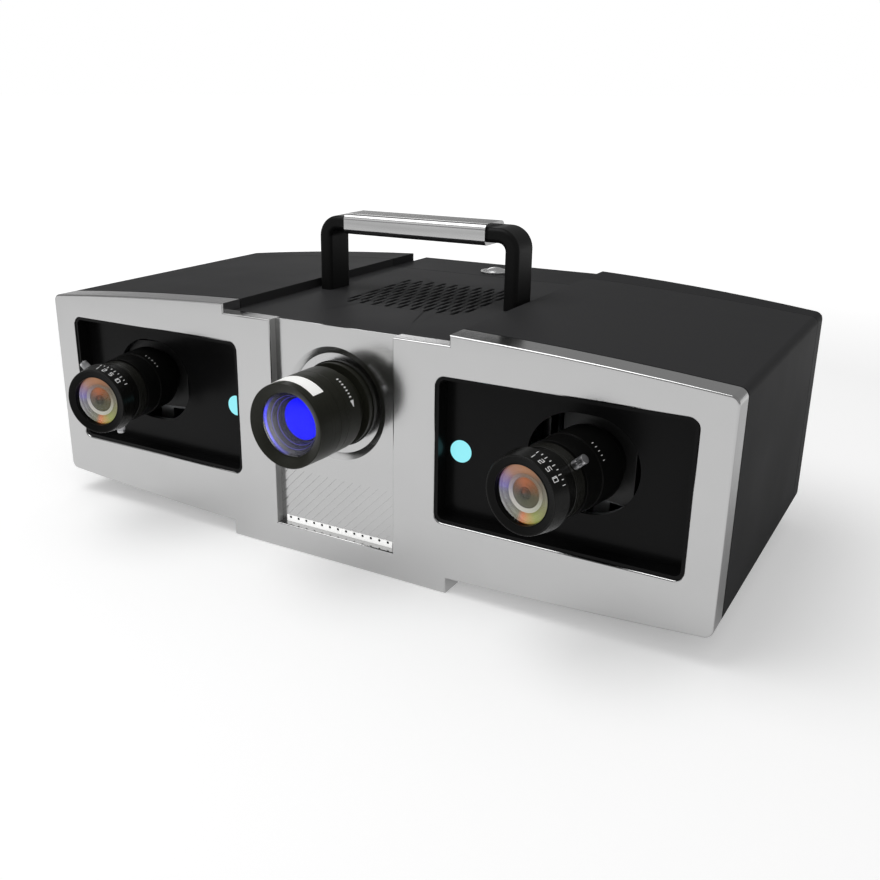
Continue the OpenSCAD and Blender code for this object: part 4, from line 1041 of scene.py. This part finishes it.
def buildFloor():
    half = studio["floorHalf"]
    mesh = bpy.data.meshes.new("floor")
    mesh.from_pydata([(-half, -half, 0), (half, -half, 0), (half, half, 0), (-half, half, 0)],
                     [], [(0, 1, 2, 3)])
    floor = bpy.data.objects.new("floor", mesh)
    bpy.context.scene.collection.objects.link(floor)
    material, tree, shader = newMaterial("floorPaper")
    coords = surfaceCoords(tree)
    tone = noiseFrom(tree, coords, studio["floorMottle"], 2)
    level, darkest = studio["floorColour"], studio["floorDarkest"]
    tree.links.new(twoTone(tree, tone, (level * darkest,) * 3, (level,) * 3),
                   shader.inputs["Base Color"])
    setInputs(shader, {"Roughness": studio["floorRoughness"], "Specular IOR Level": 0.0,
                       "Emission Color": (1, 1, 1, 1)})
    # away from the scanner the paper runs out into the white backdrop
    away = addNode(tree, "VectorMath", operation="LENGTH")
    tree.links.new(coords, away.inputs[0])
    glow = spread(tree, away.outputs["Value"], studio["floorGlow"], studio["farGlow"],
                  studio["whiteFrom"], studio["whiteTo"])
    # painted shade in reflections: glossy rays see no floor glow near the scanner
    aside = addNode(tree, "VectorMath", operation="DISTANCE")
    tree.links.new(coords, aside.inputs[0])
    aside.inputs[1].default_value = studio["paintedShadeCentre"]
    reflectedGlowPaintedShade = spread(tree, aside.outputs["Value"], 0, studio["mirrorGlow"],
                      studio["mirrorFrom"], studio["mirrorTo"])
    either = mixNode(tree, addNode(tree, "LightPath").outputs["Is Glossy Ray"])
    tree.links.new(glow, either.inputs["A"])
    tree.links.new(reflectedGlowPaintedShade, either.inputs["B"])
    lit = mathNode(tree, "MULTIPLY", showsWhite(tree), either.outputs["Result"])
    tree.links.new(lit, shader.inputs["Emission Strength"])
    mesh.materials.append(material)


def buildWorld():
    world = bpy.data.worlds.new("studioWorld")
    bpy.context.scene.world = world
    world.use_nodes = True
    tree = world.node_tree
    back = tree.nodes["Background"]
    way = addNode(tree, "TexCoord").outputs["Generated"]
    parts = addNode(tree, "SeparateXYZ")
    tree.links.new(way, parts.inputs["Vector"])
    sky = spread(tree, parts.outputs["Z"], studio["skyLow"], studio["skyHigh"],
                 studio["skyFrom"], studio["skyTo"])
    for direction, level, middle, edge in studio["windows"]:
        toward = addNode(tree, "VectorMath", operation="DOT_PRODUCT")
        tree.links.new(way, toward.inputs[0])
        toward.inputs[1].default_value = Vector(direction).normalized()
        window = spread(tree, toward.outputs["Value"], 0, level,
                        math.cos(math.radians(edge)), math.cos(math.radians(middle)))
        sky = mathNode(tree, "MAXIMUM", sky, window)
    seen = mixNode(tree, addNode(tree, "LightPath").outputs["Is Camera Ray"])
    tree.links.new(sky, seen.inputs["A"])
    seen.inputs["B"].default_value = 1.0
    shown = mixNode(tree, showsWhite(tree))
    shown.inputs["A"].default_value = studio["fill"]
    tree.links.new(seen.outputs["Result"], shown.inputs["B"])
    tree.links.new(shown.outputs["Result"], back.inputs["Strength"])
    back.inputs["Color"].default_value = (1, 1, 1, 1)


def addLamp(name, place, size, power):
    data = bpy.data.lights.new(name, "AREA")
    data.shape = "DISK"
    data.size = size
    data.energy = power
    lamp = bpy.data.objects.new(name, data)
    lamp.location = place
    facing = Vector(studio["aim"]) - Vector(place)
    lamp.rotation_euler = facing.to_track_quat("-Z", "Y").to_euler()
    bpy.context.scene.collection.objects.link(lamp)


buildFloor()
buildWorld()
for name, (place, size, power) in studio["lamps"].items():
    addLamp(name, place, size, power)
bpy.context.scene.view_settings.view_transform = "Standard"
print("studio ready")
